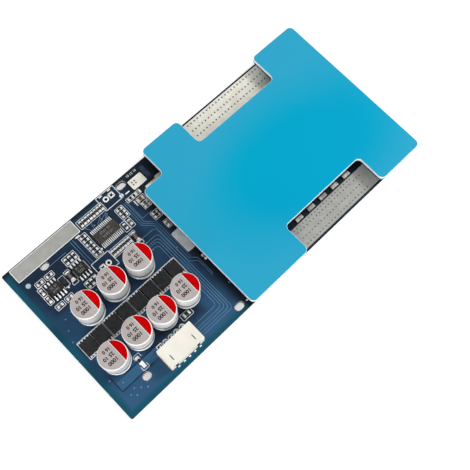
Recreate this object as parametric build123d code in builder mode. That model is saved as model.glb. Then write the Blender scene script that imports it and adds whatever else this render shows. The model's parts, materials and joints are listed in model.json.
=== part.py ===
from build123d import *
import os

# Battery management board: a circuit board with a row of balancing parts at one end and an
# aluminium heat plate over the power transistors at the other. Millimetres, +Z up.
# The origin is the middle of the whole part's footprint, on the surface that it stands on.
# Places on the board are measured from its near front corner: "along" its length, "across" its width.

# Board
BOARD_LENGTH = 141.2
BOARD_WIDTH = 66.5
BOARD_THICKNESS = 1.6
BOARD_CORNER = 0.6
PAD_THICKNESS = 0.12
PAD_CORNER = 0.15
LINK_PAD_CORNER = 0.7

# Slots for fixing the board, as (along, distance from the board's centre line, length)
NEAR_SLOT_ALONG = 13.1
NEAR_SLOT_OFFSET = 26.2
NEAR_SLOT_LENGTH = 3.0
FAR_SLOT_ALONG = 51.9
FAR_SLOT_OFFSET = 30.65
FAR_SLOT_LENGTH = 3.6
SLOT_WIDTH = 2.4

# Heat plate
PLATE_START = 55.0
PLATE_OVERHANG = 0.6
PLATE_THICKNESS = 2.0
PLATE_CORNER = 2.0
PLATE_INNER_CORNER = 1.7
PLATE_EDGE_BREAK = 0.15
NOTCH_START = 27.5
NOTCH_LENGTH = 38.3
NOTCH_DEPTH = 11.9
STEP_LENGTH = 9.9
STEP_DEPTH = 11.9

# Screws and spacers that carry the plate
SCREW_RADIUS = 1.25
SCREW_LENGTH = 6.0
SCREW_HEAD_RADIUS = 2.3
SCREW_HEAD_HEIGHT = 1.4
SCREW_RECESS_LENGTH = 2.4
SCREW_RECESS_WIDTH = 0.6
SCREW_RECESS_DEPTH = 0.8
SCREW_CLEARANCE = 0.15
THREAD_CLEARANCE = 0.02
TAPPED_DEPTH = 1.5
SPACER_RADIUS = 2.5
SCREW_EDGE_DISTANCE = 4.6
SCREW_SPOTS = [(59.0, SCREW_EDGE_DISTANCE), (58.8, BOARD_WIDTH - 15.5),
               (73.7, BOARD_WIDTH - SCREW_EDGE_DISTANCE), (BOARD_LENGTH - 42.8, BOARD_WIDTH / 2),
               (BOARD_LENGTH - SCREW_EDGE_DISTANCE, SCREW_EDGE_DISTANCE),
               (BOARD_LENGTH - SCREW_EDGE_DISTANCE, BOARD_WIDTH - SCREW_EDGE_DISTANCE)]

# Power transistors under the plate, in two rows whose tabs face each other
TRANSISTOR_COUNT = 9
TRANSISTOR_PITCH = 8.8
TRANSISTOR_START = 63.2
TRANSISTOR_WIDTH = 6.6
TRANSISTOR_DEPTH = 6.1
TRANSISTOR_HEIGHT = 2.3
TRANSISTOR_EDGE_BREAK = 0.25
TAB_WIDTH = 5.3
TAB_THICKNESS = 0.5
TAB_REACH = 1.1
TRANSISTOR_LEAD_WIDTH = 0.8
TRANSISTOR_LEAD_REACH = 2.8
TRANSISTOR_LEAD_SPACING = 4.56
CHARGE_ROW_ACROSS = 23.9
DISCHARGE_ROW_ACROSS = BOARD_WIDTH - CHARGE_ROW_ACROSS
THERMAL_PAD_THICKNESS = 1.05
THERMAL_PAD_MARGIN = 0.5

# Shunt resistors
SHUNT_COUNT = 5
SHUNT_START = 89.75
SHUNT_PITCH = 6.17
SHUNT_NEAR_END = 9.9
SHUNT_LENGTH = 6.4
SHUNT_WIDTH = 3.2
SHUNT_THICKNESS = 0.6
SHUNT_END_LENGTH = 1.3
SHUNT_END_THICKNESS = 0.85

# Tinned pads, as (along from, along to, across from, across to)
CELL_PAD = (3.25, 29.95, BOARD_WIDTH - 5.65, BOARD_WIDTH - 0.6)
TAP_PAD = (54.55, 60.1, BOARD_WIDTH - 7.0, BOARD_WIDTH - 3.55)
LINK_PAD = (52.4, 61.0, 28.9, 38.1)
RETURN_PAD = (58.0, 79.0, BOARD_WIDTH - 12.0, BOARD_WIDTH - 8.1)
BATTERY_PAD = (81.5, 123.9, 0.8, 9.4)
PACK_PAD = (81.5, 123.9, BOARD_WIDTH - 13.5, BOARD_WIDTH - 0.7)

# Capacitors
CAN_RADIUS = 5.0
CAN_HEIGHT = 12.5
CAN_TOP_ROUND = 0.5
CAN_RIM_LIFT = 0.3
CAN_RIM_ROUND = 0.35
CAN_BEAD_HEIGHT = 2.1
CAN_BEAD_RADIUS = 0.7
CAN_BEAD_DEPTH = 0.45
BUNG_RADIUS = 4.1
BUNG_THICKNESS = 1.0
CAN_LEAD_RADIUS = 0.3
CAN_LEAD_SPACING = 5.0
CAN_SPOTS = [(14.06, 36.22), (25.49, 36.6), (36.98, 36.63),
             (9.42, 17.84), (20.23, 18.47), (30.63, 17.96), (41.28, 18.15)]

# Solder joints and leads through the board
LEAD_CLEARANCE = 0.12
TAIL_LENGTH = 1.0
JOINT_RADIUS = 0.85
JOINT_TIP_RADIUS = 0.4
JOINT_HEIGHT = 0.7

# Balancing transistors, in a row between the capacitors
SWITCH_COUNT = 8
SWITCH_START = 5.95
SWITCH_PITCH = 5.52
SWITCH_ACROSS = 27.75
SWITCH_BODY_WIDTH = 4.9
SWITCH_BODY_LENGTH = 5.6
SWITCH_BODY_HEIGHT = 0.85
SWITCH_EDGE_BREAK = 0.1
SWITCH_FRAME_THICKNESS = 0.25
SWITCH_FRAME_WIDTH = 4.2
SWITCH_FRAME_LENGTH = 4.0
SWITCH_LEAD_REACH = 0.45
SWITCH_TAB_REACH = 0.15
SWITCH_LEAD_WIDTH = 0.5
SWITCH_LEAD_PITCH = 1.2
SWITCH_LEAD_COUNT = 4
SWITCH_LEAD_INNER = 0.3

# Driver chips, in the common body with leads 1.27 apart
DRIVER_SPOTS = [(10.58, 50.54), (21.3, 49.93)]
DRIVER_BODY_LENGTH = 4.9
DRIVER_BODY_WIDTH = 3.9
DRIVER_BODY_HEIGHT = 1.45
DRIVER_LEAD_PITCH = 1.27
DRIVER_LEADS_PER_SIDE = 4
DRIVER_LEAD_WIDTH = 0.42
DRIVER_LEAD_THICKNESS = 0.2
DRIVER_SPAN = 6.1

# Monitor chip, in the thin body with leads 0.65 apart
MONITOR_SPOT = (36.65, 53.98)
MONITOR_BODY_LENGTH = 9.7
MONITOR_BODY_WIDTH = 4.4
MONITOR_BODY_HEIGHT = 1.0
MONITOR_LEAD_PITCH = 0.65
MONITOR_LEADS_PER_SIDE = 14
MONITOR_LEAD_WIDTH = 0.26
MONITOR_LEAD_THICKNESS = 0.15
MONITOR_SPAN = 6.5
CHIP_STANDOFF = 0.1
CHIP_DRAFT = 0.12

# Small chip parts: the common size, and the size above it
CHIP_LENGTH, CHIP_WIDTH = 1.6, 0.8
CHIP_RESISTOR_HEIGHT = 0.45
CHIP_CAPACITOR_HEIGHT = 0.75
BIG_CHIP_LENGTH, BIG_CHIP_WIDTH, BIG_CHIP_HEIGHT = 2.0, 1.25, 0.55

# Rows of chip parts that lie along the board, as (first along, first across, step across)
RESISTOR_STACKS = [(8.0, 55.7, 0), (12.1, 55.7, 0), (29.4, 50.2, 1.62), (45.5, 54.4, 1.5),
                   (51.2, 57.8, 0), (53.8, 46.5, 1.5), (53.8, 53.2, 0)]
RESISTOR_STACK_COUNTS = [1, 1, 6, 3, 1, 2, 1]
CAPACITOR_STACKS = [(8.0, 45.0, 0), (12.1, 45.0, 0), (54.5, 57.8, 0), (53.8, 51.8, 0)]
CAPACITOR_STACK_COUNTS = [1, 1, 1, 1]

# Rows of chip parts that lie across the board, as (first along, first across, step along)
RESISTOR_RANKS = [(19.5, 55.4, 1.7), (19.55, 43.9, 1.7), (32.1, BOARD_WIDTH - 4.1, 1.34), (33.3, 46.6, 1.2),
                  (42.85, 51.2, 0)]
RESISTOR_RANK_COUNTS = [3, 2, 8, 7, 1]
CAPACITOR_RANKS = [(6.55, 49.0, 0), (6.55, 52.7, 0), (22.95, 43.9, 0), (45.1, 51.3, 0), (54.3, 41.9, 0),
                   (55.4, 23.95, 0)]
CAPACITOR_RANK_COUNTS = [1, 1, 1, 1, 1, 1]

# The larger chip resistors, as (along, across): those along the board, and the one across it
BIG_RESISTORS_ALONG = [(36.85, 13.2), (53.6, 55.2)]
BIG_RESISTORS_ACROSS = [(14.64, 12.57)]

# Diodes
GLASS_DIODE_SPOTS = [(17.05, 50.5), (42.8, 45.75)]
GLASS_DIODE_RADIUS = 0.65
GLASS_DIODE_LENGTH = 3.5
GLASS_DIODE_CAP_RADIUS = 0.75
GLASS_DIODE_CAP_LENGTH = 0.45
CLAMP_DIODE_SPOT = (14.24, 50.6)
CLAMP_DIODE_LENGTH = 2.7
CLAMP_DIODE_WIDTH = 1.6
CLAMP_DIODE_HEIGHT = 1.1
CLAMP_DIODE_SPAN = 3.7
CLAMP_DIODE_LEAD_WIDTH = 0.6
CLAMP_DIODE_LEAD_THICKNESS = 0.15

# Side-entry header
HEADER_MIDDLE = 27.7
HEADER_FRONT = 2.35
HEADER_END = 2.45
HEADER_DEPTH = 7.7
HEADER_HEIGHT = 6.1
HEADER_SIDE_WALL = 1.0
HEADER_TOP_WALL = 0.8
HEADER_BASE_WALL = 0.9
HEADER_CAVITY_DEPTH = 6.0
HEADER_SLIT_FROM_END = 2.55
HEADER_SLIT_LENGTH = 2.2
HEADER_SLIT_WIDTH = 0.3
HEADER_SLIT_FROM_FRONT = 1.6
HEADER_KEY_WIDTH = 1.2
HEADER_KEY_DEPTH = 2.4
HEADER_CORNER = 0.3
PIN_COUNT = 5
PIN_PITCH = 2.5
PIN_SIZE = 0.64
PIN_HEIGHT = 3.1
PIN_ACROSS = 10.85
PIN_REACH = 4.2
PIN_BEND = 0.8

# Two-way pin footprints left empty, as (along, across) of their middle
EMPTY_HEADER_SPOTS = [(45.8, BOARD_WIDTH - 2.94), (28.52, 45.2)]
EMPTY_HEADER_PITCH = 2.5
EMPTY_HOLE_RADIUS = 0.48

# Heights and places that follow from the sizes above
BOARD_BOTTOM = SCREW_HEAD_HEIGHT
BOARD_TOP = BOARD_BOTTOM + BOARD_THICKNESS
PLATE_BOTTOM = BOARD_TOP + TRANSISTOR_HEIGHT + THERMAL_PAD_THICKNESS
PLATE_END = BOARD_LENGTH + PLATE_OVERHANG
PLATE_LENGTH = PLATE_END - PLATE_START
PLATE_WIDTH = BOARD_WIDTH + 2 * PLATE_OVERHANG
SPACER_HEIGHT = PLATE_BOTTOM - BOARD_TOP
SWITCH_SPAN = SWITCH_LEAD_REACH + SWITCH_BODY_LENGTH + SWITCH_TAB_REACH
HEADER_LENGTH = (PIN_COUNT - 1) * PIN_PITCH + 2 * HEADER_END
HEADER_SLIT_SPACING = HEADER_LENGTH - 2 * HEADER_SLIT_FROM_END
EPSILON = 0.01


def spot(along, across):
    """A place on the board, from its near front corner, as an (x, y) about the part's origin."""
    return along - PLATE_END / 2, across - BOARD_WIDTH / 2


def stack_spots(stacks, counts):
    """Every place in rows that run across the board, of parts that lie along it."""
    return [(along, across + i * step)
            for (along, across, step), count in zip(stacks, counts) for i in range(count)]


def rank_spots(ranks, counts):
    """Every place in rows that run along the board, of parts that lie across it."""
    return [(along + i * step, across)
            for (along, across, step), count in zip(ranks, counts) for i in range(count)]


def span(middle, count, pitch):
    """Evenly spaced places about a middle."""
    return [middle + (i - (count - 1) / 2) * pitch for i in range(count)]


PIN_SPOTS = [(along, PIN_ACROSS) for along in span(HEADER_MIDDLE, PIN_COUNT, PIN_PITCH)]
CAN_LEAD_SPOTS = [(along, across + side * CAN_LEAD_SPACING / 2)
                  for along, across in CAN_SPOTS for side in (-1, 1)]
EMPTY_HOLE_SPOTS = [(hole, across) for along, across in EMPTY_HEADER_SPOTS
                    for hole in span(along, 2, EMPTY_HEADER_PITCH)]


def finish(part, name):
    """Labels a finished piece and writes its file."""
    part.label = name
    export_step(part, f"parts/{name}.step")


# Circuit board
with BuildPart() as circuit_board:
    with BuildSketch(Plane.XY.offset(BOARD_BOTTOM)):
        with Locations(spot(BOARD_LENGTH / 2, BOARD_WIDTH / 2)):
            RectangleRounded(BOARD_LENGTH, BOARD_WIDTH, BOARD_CORNER)
        for side in (-1, 1):
            with Locations(spot(NEAR_SLOT_ALONG, BOARD_WIDTH / 2 + side * NEAR_SLOT_OFFSET)):
                SlotOverall(NEAR_SLOT_LENGTH, SLOT_WIDTH, mode=Mode.SUBTRACT)
            with Locations(spot(FAR_SLOT_ALONG, BOARD_WIDTH / 2 + side * FAR_SLOT_OFFSET)):
                SlotOverall(FAR_SLOT_LENGTH, SLOT_WIDTH, mode=Mode.SUBTRACT)
        with Locations([spot(*place) for place in CAN_LEAD_SPOTS]):
            Circle(CAN_LEAD_RADIUS + LEAD_CLEARANCE, mode=Mode.SUBTRACT)
        with Locations([spot(*place) for place in PIN_SPOTS]):
            Circle(PIN_SIZE * 0.7072 + LEAD_CLEARANCE, mode=Mode.SUBTRACT)
        with Locations([spot(*place) for place in EMPTY_HOLE_SPOTS]):
            Circle(EMPTY_HOLE_RADIUS, mode=Mode.SUBTRACT)
        with Locations([spot(*place) for place in SCREW_SPOTS]):
            Circle(SCREW_RADIUS + SCREW_CLEARANCE, mode=Mode.SUBTRACT)
    extrude(amount=BOARD_THICKNESS)
finish(circuit_board.part, "circuit_board")


# Tinned pads on the board, with clearance round the spacers that stand beside them
def tinned_pad(name, bounds, corner=PAD_CORNER):
    start, end, front, back = bounds
    with BuildPart() as pad:
        with BuildSketch(Plane.XY.offset(BOARD_TOP)):
            with Locations(spot((start + end) / 2, (front + back) / 2)):
                RectangleRounded(end - start, back - front, corner)
            with Locations([spot(*place) for place in SCREW_SPOTS]):
                Circle(SPACER_RADIUS + SCREW_CLEARANCE, mode=Mode.SUBTRACT)
        extrude(amount=PAD_THICKNESS)
    finish(pad.part, name)


tinned_pad("cell_pad", CELL_PAD)
tinned_pad("tap_pad", TAP_PAD)
tinned_pad("link_pad", LINK_PAD, LINK_PAD_CORNER)
tinned_pad("return_pad", RETURN_PAD)
tinned_pad("battery_pad", BATTERY_PAD)
tinned_pad("pack_pad", PACK_PAD)


# Capacitor cans, drawn as half a section and turned: a rolled bead near the foot, a curled rim,
# and a recess below for the rubber bung
with BuildSketch(Plane.XZ) as can_section:
    with BuildLine():
        Polyline((0, BUNG_THICKNESS), (BUNG_RADIUS, BUNG_THICKNESS), (BUNG_RADIUS, CAN_RIM_LIFT),
                 (CAN_RADIUS, CAN_RIM_LIFT), (CAN_RADIUS, CAN_HEIGHT), (0, CAN_HEIGHT), close=True)
    make_face()
    with Locations((CAN_RADIUS + CAN_BEAD_RADIUS - CAN_BEAD_DEPTH, CAN_BEAD_HEIGHT)):
        Circle(CAN_BEAD_RADIUS, mode=Mode.SUBTRACT)
    wall = can_section.vertices().filter_by_position(Axis.X, CAN_RADIUS - EPSILON, CAN_RADIUS + EPSILON)
    fillet(wall.sort_by(Axis.Y)[-1], radius=CAN_TOP_ROUND)
    wall = can_section.vertices().filter_by_position(Axis.X, CAN_RADIUS - EPSILON, CAN_RADIUS + EPSILON)
    fillet(wall.sort_by(Axis.Y)[0], radius=CAN_RIM_ROUND)

for number, (along, across) in enumerate(CAN_SPOTS, 1):
    with BuildPart() as can:
        with Locations((*spot(along, across), BOARD_TOP)):
            add(revolve(can_section.sketch, axis=Axis.Z, mode=Mode.PRIVATE))
    finish(can.part, f"can_{number}")

    with BuildPart() as bung:
        with BuildSketch(Plane.XY.offset(BOARD_TOP)):
            with Locations(spot(along, across)):
                Circle(BUNG_RADIUS)
        extrude(amount=BUNG_THICKNESS)
    finish(bung.part, f"bung_{number}")

# Capacitor leads, each with its solder joint below the board
with BuildPart() as capacitor_leads:
    with BuildSketch(Plane.XY.offset(BOARD_BOTTOM - TAIL_LENGTH)):
        with Locations([spot(*place) for place in CAN_LEAD_SPOTS]):
            Circle(CAN_LEAD_RADIUS)
    extrude(amount=TAIL_LENGTH + BOARD_THICKNESS)
    for along, across in CAN_LEAD_SPOTS:
        with Locations((*spot(along, across), BOARD_BOTTOM - JOINT_HEIGHT / 2)):
            Cone(JOINT_TIP_RADIUS, JOINT_RADIUS, JOINT_HEIGHT)
finish(capacitor_leads.part, "capacitor_leads")


# Balancing transistors: flat bodies on lead frames, every second one turned round.
# Each is (along, side of the leads), with +1 for leads on the far side.
SWITCH_SPOTS = [(SWITCH_START + i * SWITCH_PITCH, 1 if i % 2 == 0 else -1) for i in range(SWITCH_COUNT)]
for number, (along, side) in enumerate(SWITCH_SPOTS, 1):
    body_across = SWITCH_ACROSS - side * (SWITCH_LEAD_REACH - SWITCH_TAB_REACH) / 2
    with BuildPart() as switch_body:
        with BuildSketch(Plane.XY.offset(BOARD_TOP + SWITCH_FRAME_THICKNESS)):
            with Locations(spot(along, body_across)):
                Rectangle(SWITCH_BODY_WIDTH, SWITCH_BODY_LENGTH)
        extrude(amount=SWITCH_BODY_HEIGHT)
        chamfer(switch_body.faces().sort_by(Axis.Z)[-1].edges(), length=SWITCH_EDGE_BREAK)
    finish(switch_body.part, f"balance_switch_{number}")

with BuildPart() as switch_frames:
    for along, side in SWITCH_SPOTS:
        lead_length = SWITCH_LEAD_REACH + SWITCH_LEAD_INNER
        lead_across = SWITCH_ACROSS + side * (SWITCH_SPAN - lead_length) / 2
        tab_across = SWITCH_ACROSS - side * (SWITCH_SPAN - SWITCH_FRAME_LENGTH) / 2
        with BuildSketch(Plane.XY.offset(BOARD_TOP)):
            with Locations(spot(along, tab_across)):
                Rectangle(SWITCH_FRAME_WIDTH, SWITCH_FRAME_LENGTH)
            with Locations([spot(lead, lead_across)
                            for lead in span(along, SWITCH_LEAD_COUNT, SWITCH_LEAD_PITCH)]):
                Rectangle(SWITCH_LEAD_WIDTH, lead_length)
        extrude(amount=SWITCH_FRAME_THICKNESS)
finish(switch_frames.part, "balance_switch_frames")


# Chips with bent leads: a drafted body, and leads that leave at half height and turn down and out
def chip_body(name, place, length, width, height):
    with BuildPart() as body:
        middle_height = BOARD_TOP + CHIP_STANDOFF + height / 2
        with BuildSketch(Plane.XY.offset(middle_height)) as waist:
            with Locations(spot(*place)):
                Rectangle(length, width)
        with BuildSketch(Plane.XY.offset(BOARD_TOP + CHIP_STANDOFF + height)):
            with Locations(spot(*place)):
                Rectangle(length - 2 * CHIP_DRAFT, width - 2 * CHIP_DRAFT)
        loft()
        with BuildSketch(Plane.XY.offset(BOARD_TOP + CHIP_STANDOFF)):
            with Locations(spot(*place)):
                Rectangle(length - 2 * CHIP_DRAFT, width - 2 * CHIP_DRAFT)
        add(waist.sketch)
        loft()
    finish(body.part, name)


def bent_lead(body_width, body_height, lead_span, thickness, lead_width):
    """One lead on the +Y side of a chip whose middle is the origin, on the board's surface."""
    shoulder = CHIP_STANDOFF + body_height / 2 + thickness / 2
    foot = (lead_span - body_width) * 0.3
    knee = lead_span / 2 - foot
    with BuildPart() as lead:
        with BuildSketch(Plane.YZ.offset(-lead_width / 2)):
            with BuildLine():
                Polyline((body_width / 2, shoulder), (knee, shoulder), (knee, thickness),
                         (lead_span / 2, thickness), (lead_span / 2, 0), (knee - thickness, 0),
                         (knee - thickness, shoulder - thickness),
                         (body_width / 2, shoulder - thickness), close=True)
            make_face()
        extrude(amount=lead_width)
    return lead.part


def chip_leads(lead, places, per_side, pitch):
    """All leads of the chips at the given places, as one part of separate solids."""
    with BuildPart() as leads:
        for along, across in places:
            for lead_along in span(along, per_side, pitch):
                x, y = spot(lead_along, across)
                with Locations(Location((x, y, BOARD_TOP)), Location((x, y, BOARD_TOP), (0, 0, 180))):
                    add(lead)
    return leads.part


for letter, place in zip("ab", DRIVER_SPOTS):
    chip_body(f"driver_chip_{letter}", place, DRIVER_BODY_LENGTH, DRIVER_BODY_WIDTH, DRIVER_BODY_HEIGHT)
driver_lead = bent_lead(DRIVER_BODY_WIDTH, DRIVER_BODY_HEIGHT, DRIVER_SPAN,
                        DRIVER_LEAD_THICKNESS, DRIVER_LEAD_WIDTH)
finish(chip_leads(driver_lead, DRIVER_SPOTS, DRIVER_LEADS_PER_SIDE, DRIVER_LEAD_PITCH), "driver_leads")

chip_body("monitor_chip", MONITOR_SPOT, MONITOR_BODY_LENGTH, MONITOR_BODY_WIDTH, MONITOR_BODY_HEIGHT)
monitor_lead = bent_lead(MONITOR_BODY_WIDTH, MONITOR_BODY_HEIGHT, MONITOR_SPAN,
                         MONITOR_LEAD_THICKNESS, MONITOR_LEAD_WIDTH)
finish(chip_leads(monitor_lead, [MONITOR_SPOT], MONITOR_LEADS_PER_SIDE, MONITOR_LEAD_PITCH),
       "monitor_leads")


# Small chip parts, flat on the board
with BuildPart() as chip_resistors:
    with BuildSketch(Plane.XY.offset(BOARD_TOP)):
        with Locations([spot(*place) for place in stack_spots(RESISTOR_STACKS, RESISTOR_STACK_COUNTS)]):
            Rectangle(CHIP_LENGTH, CHIP_WIDTH)
        with Locations([spot(*place) for place in rank_spots(RESISTOR_RANKS, RESISTOR_RANK_COUNTS)]):
            Rectangle(CHIP_WIDTH, CHIP_LENGTH)
    extrude(amount=CHIP_RESISTOR_HEIGHT)
    with BuildSketch(Plane.XY.offset(BOARD_TOP)):
        with Locations([spot(*place) for place in BIG_RESISTORS_ALONG]):
            Rectangle(BIG_CHIP_LENGTH, BIG_CHIP_WIDTH)
        with Locations([spot(*place) for place in BIG_RESISTORS_ACROSS]):
            Rectangle(BIG_CHIP_WIDTH, BIG_CHIP_LENGTH)
    extrude(amount=BIG_CHIP_HEIGHT)
finish(chip_resistors.part, "chip_resistors")

with BuildPart() as chip_capacitors:
    with BuildSketch(Plane.XY.offset(BOARD_TOP)):
        with Locations([spot(*place) for place in stack_spots(CAPACITOR_STACKS, CAPACITOR_STACK_COUNTS)]):
            Rectangle(CHIP_LENGTH, CHIP_WIDTH)
        with Locations([spot(*place) for place in rank_spots(CAPACITOR_RANKS, CAPACITOR_RANK_COUNTS)]):
            Rectangle(CHIP_WIDTH, CHIP_LENGTH)
    extrude(amount=CHIP_CAPACITOR_HEIGHT)
finish(chip_capacitors.part, "chip_capacitors")


# Diodes: two glass ones that lie on their metal caps, and a flat moulded one
for number, (along, across) in enumerate(GLASS_DIODE_SPOTS, 1):
    with BuildPart() as glass_diode:
        with BuildSketch(Plane.XZ) as diode_section:
            with BuildLine():
                half = GLASS_DIODE_LENGTH / 2
                inner = half - GLASS_DIODE_CAP_LENGTH
                Polyline((0, -half), (GLASS_DIODE_CAP_RADIUS, -half), (GLASS_DIODE_CAP_RADIUS, -inner),
                         (GLASS_DIODE_RADIUS, -inner), (GLASS_DIODE_RADIUS, inner),
                         (GLASS_DIODE_CAP_RADIUS, inner), (GLASS_DIODE_CAP_RADIUS, half),
                         (0, half), close=True)
            make_face()
        turned = revolve(diode_section.sketch, axis=Axis.Z, mode=Mode.PRIVATE)
        lying = Location((*spot(along, across), BOARD_TOP + GLASS_DIODE_CAP_RADIUS), (90, 0, 0))
        with Locations(lying):
            add(turned)
    finish(glass_diode.part, f"glass_diode_{number}")

with BuildPart() as clamp_diode:
    with Locations((*spot(*CLAMP_DIODE_SPOT), BOARD_TOP + CLAMP_DIODE_HEIGHT / 2)):
        Box(CLAMP_DIODE_WIDTH, CLAMP_DIODE_LENGTH, CLAMP_DIODE_HEIGHT)
    chamfer(clamp_diode.faces().sort_by(Axis.Z)[-1].edges(), length=CHIP_DRAFT)
    with Locations((*spot(*CLAMP_DIODE_SPOT), BOARD_TOP + CLAMP_DIODE_LEAD_THICKNESS / 2)):
        Box(CLAMP_DIODE_LEAD_WIDTH, CLAMP_DIODE_SPAN, CLAMP_DIODE_LEAD_THICKNESS)
finish(clamp_diode.part, "clamp_diode")


# Shunt resistors: metal strips with thicker soldered ends, half under the plate
with BuildSketch(Plane.YZ) as shunt_section:
    with BuildLine():
        Polyline((0, 0), (SHUNT_LENGTH, 0), (SHUNT_LENGTH, SHUNT_END_THICKNESS),
                 (SHUNT_LENGTH - SHUNT_END_LENGTH, SHUNT_END_THICKNESS),
                 (SHUNT_LENGTH - SHUNT_END_LENGTH, SHUNT_THICKNESS),
                 (SHUNT_END_LENGTH, SHUNT_THICKNESS), (SHUNT_END_LENGTH, SHUNT_END_THICKNESS),
                 (0, SHUNT_END_THICKNESS), close=True)
    make_face()
for number in range(SHUNT_COUNT):
    with BuildPart() as shunt:
        along = SHUNT_START + number * SHUNT_PITCH
        with Locations((*spot(along, SHUNT_NEAR_END), BOARD_TOP)):
            add(extrude(shunt_section.sketch, amount=SHUNT_WIDTH / 2, both=True, mode=Mode.PRIVATE))
    finish(shunt.part, f"shunt_{number + 1}")


# Power transistors: bodies, and the tabs and leads that stand out from under them
def transistor_row(name, across, tab_side):
    places = [(TRANSISTOR_START + i * TRANSISTOR_PITCH, across) for i in range(TRANSISTOR_COUNT)]
    with BuildPart() as bodies:
        with BuildSketch(Plane.XY.offset(BOARD_TOP + TAB_THICKNESS)):
            with Locations([spot(*place) for place in places]):
                Rectangle(TRANSISTOR_WIDTH, TRANSISTOR_DEPTH)
        extrude(amount=TRANSISTOR_HEIGHT - TAB_THICKNESS)
        chamfer(bodies.faces().group_by(Axis.Z)[-1].edges(), length=TRANSISTOR_EDGE_BREAK)
    finish(bodies.part, f"{name}_transistors")

    with BuildPart() as frames:
        for along, middle in places:
            tab_length = TRANSISTOR_DEPTH * 0.75 + TAB_REACH
            tab_end = middle + tab_side * (TRANSISTOR_DEPTH / 2 + TAB_REACH)
            lead_end = middle - tab_side * (TRANSISTOR_DEPTH / 2 + TRANSISTOR_LEAD_REACH)
            lead_length = TRANSISTOR_LEAD_REACH + TRANSISTOR_DEPTH * 0.12
            with BuildSketch(Plane.XY.offset(BOARD_TOP)):
                with Locations(spot(along, tab_end - tab_side * tab_length / 2)):
                    Rectangle(TAB_WIDTH, tab_length)
                with Locations([spot(lead, lead_end + tab_side * lead_length / 2)
                                for lead in span(along, 2, TRANSISTOR_LEAD_SPACING)]):
                    Rectangle(TRANSISTOR_LEAD_WIDTH, lead_length)
            extrude(amount=TAB_THICKNESS)
    finish(frames.part, f"{name}_transistor_frames")

    with BuildPart() as thermal_pad:
        middle = TRANSISTOR_START + (TRANSISTOR_COUNT - 1) * TRANSISTOR_PITCH / 2
        length = (TRANSISTOR_COUNT - 1) * TRANSISTOR_PITCH + TRANSISTOR_WIDTH + 2 * THERMAL_PAD_MARGIN
        with BuildSketch(Plane.XY.offset(BOARD_TOP + TRANSISTOR_HEIGHT)):
            with Locations(spot(middle, across)):
                Rectangle(length, TRANSISTOR_DEPTH + 2 * THERMAL_PAD_MARGIN)
        extrude(amount=THERMAL_PAD_THICKNESS)
    finish(thermal_pad.part, f"{name}_thermal_pad")


transistor_row("charge", CHARGE_ROW_ACROSS, 1)
transistor_row("discharge", DISCHARGE_ROW_ACROSS, -1)


# Heat plate: notched on both long sides for the wires, and stepped at one near corner
with BuildPart() as heat_plate:
    with BuildSketch(Plane.XY.offset(PLATE_BOTTOM)) as plate_outline:
        plate_middle = PLATE_START + PLATE_LENGTH / 2
        with Locations(spot(plate_middle, BOARD_WIDTH / 2)):
            Rectangle(PLATE_LENGTH, PLATE_WIDTH)
        for side in (-1, 1):
            notch_across = BOARD_WIDTH / 2 + side * (PLATE_WIDTH - NOTCH_DEPTH) / 2
            with Locations(spot(PLATE_START + NOTCH_START + NOTCH_LENGTH / 2, notch_across)):
                Rectangle(NOTCH_LENGTH, NOTCH_DEPTH, mode=Mode.SUBTRACT)
        with Locations(spot(PLATE_START + STEP_LENGTH / 2,
                            BOARD_WIDTH / 2 + (PLATE_WIDTH - STEP_DEPTH) / 2)):
            Rectangle(STEP_LENGTH, STEP_DEPTH, mode=Mode.SUBTRACT)
        inner_corners = [v for v in plate_outline.vertices()
                         if abs(v.Y) < PLATE_WIDTH / 2 - EPSILON
                         and v.X > spot(PLATE_START, 0)[0] + EPSILON]
        fillet(inner_corners, radius=PLATE_INNER_CORNER)
        square_corners = [v for v in plate_outline.vertices()
                          if abs(v.Y) > PLATE_WIDTH / 2 - EPSILON
                          or v.X < spot(PLATE_START, 0)[0] + EPSILON]
        fillet(square_corners, radius=PLATE_CORNER)
    extrude(amount=PLATE_THICKNESS)
    chamfer(heat_plate.faces().sort_by(Axis.Z)[-1].edges(), length=PLATE_EDGE_BREAK)
    with BuildSketch(Plane.XY.offset(PLATE_BOTTOM)):
        with Locations([spot(*place) for place in SCREW_SPOTS]):
            Circle(SCREW_RADIUS + THREAD_CLEARANCE)
    extrude(amount=TAPPED_DEPTH, mode=Mode.SUBTRACT)
finish(heat_plate.part, "heat_plate")

# Spacers between board and plate, and the screws that come up through them from below
with BuildPart() as plate_spacers:
    with BuildSketch(Plane.XY.offset(BOARD_TOP)):
        with Locations([spot(*place) for place in SCREW_SPOTS]):
            Circle(SPACER_RADIUS)
            Circle(SCREW_RADIUS + SCREW_CLEARANCE, mode=Mode.SUBTRACT)
    extrude(amount=SPACER_HEIGHT)
finish(plate_spacers.part, "plate_spacers")

with BuildPart() as plate_screws:
    with BuildSketch(Plane.XY):
        with Locations([spot(*place) for place in SCREW_SPOTS]):
            Circle(SCREW_HEAD_RADIUS)
    extrude(amount=SCREW_HEAD_HEIGHT)
    with BuildSketch(Plane.XY.offset(SCREW_HEAD_HEIGHT)):
        with Locations([spot(*place) for place in SCREW_SPOTS]):
            Circle(SCREW_RADIUS)
    extrude(amount=SCREW_LENGTH)
    with BuildSketch(Plane.XY):
        with Locations([spot(*place) for place in SCREW_SPOTS]):
            Rectangle(SCREW_RECESS_LENGTH, SCREW_RECESS_WIDTH)
            Rectangle(SCREW_RECESS_WIDTH, SCREW_RECESS_LENGTH)
    extrude(amount=SCREW_RECESS_DEPTH, mode=Mode.SUBTRACT)
finish(plate_screws.part, "plate_screws")


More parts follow.
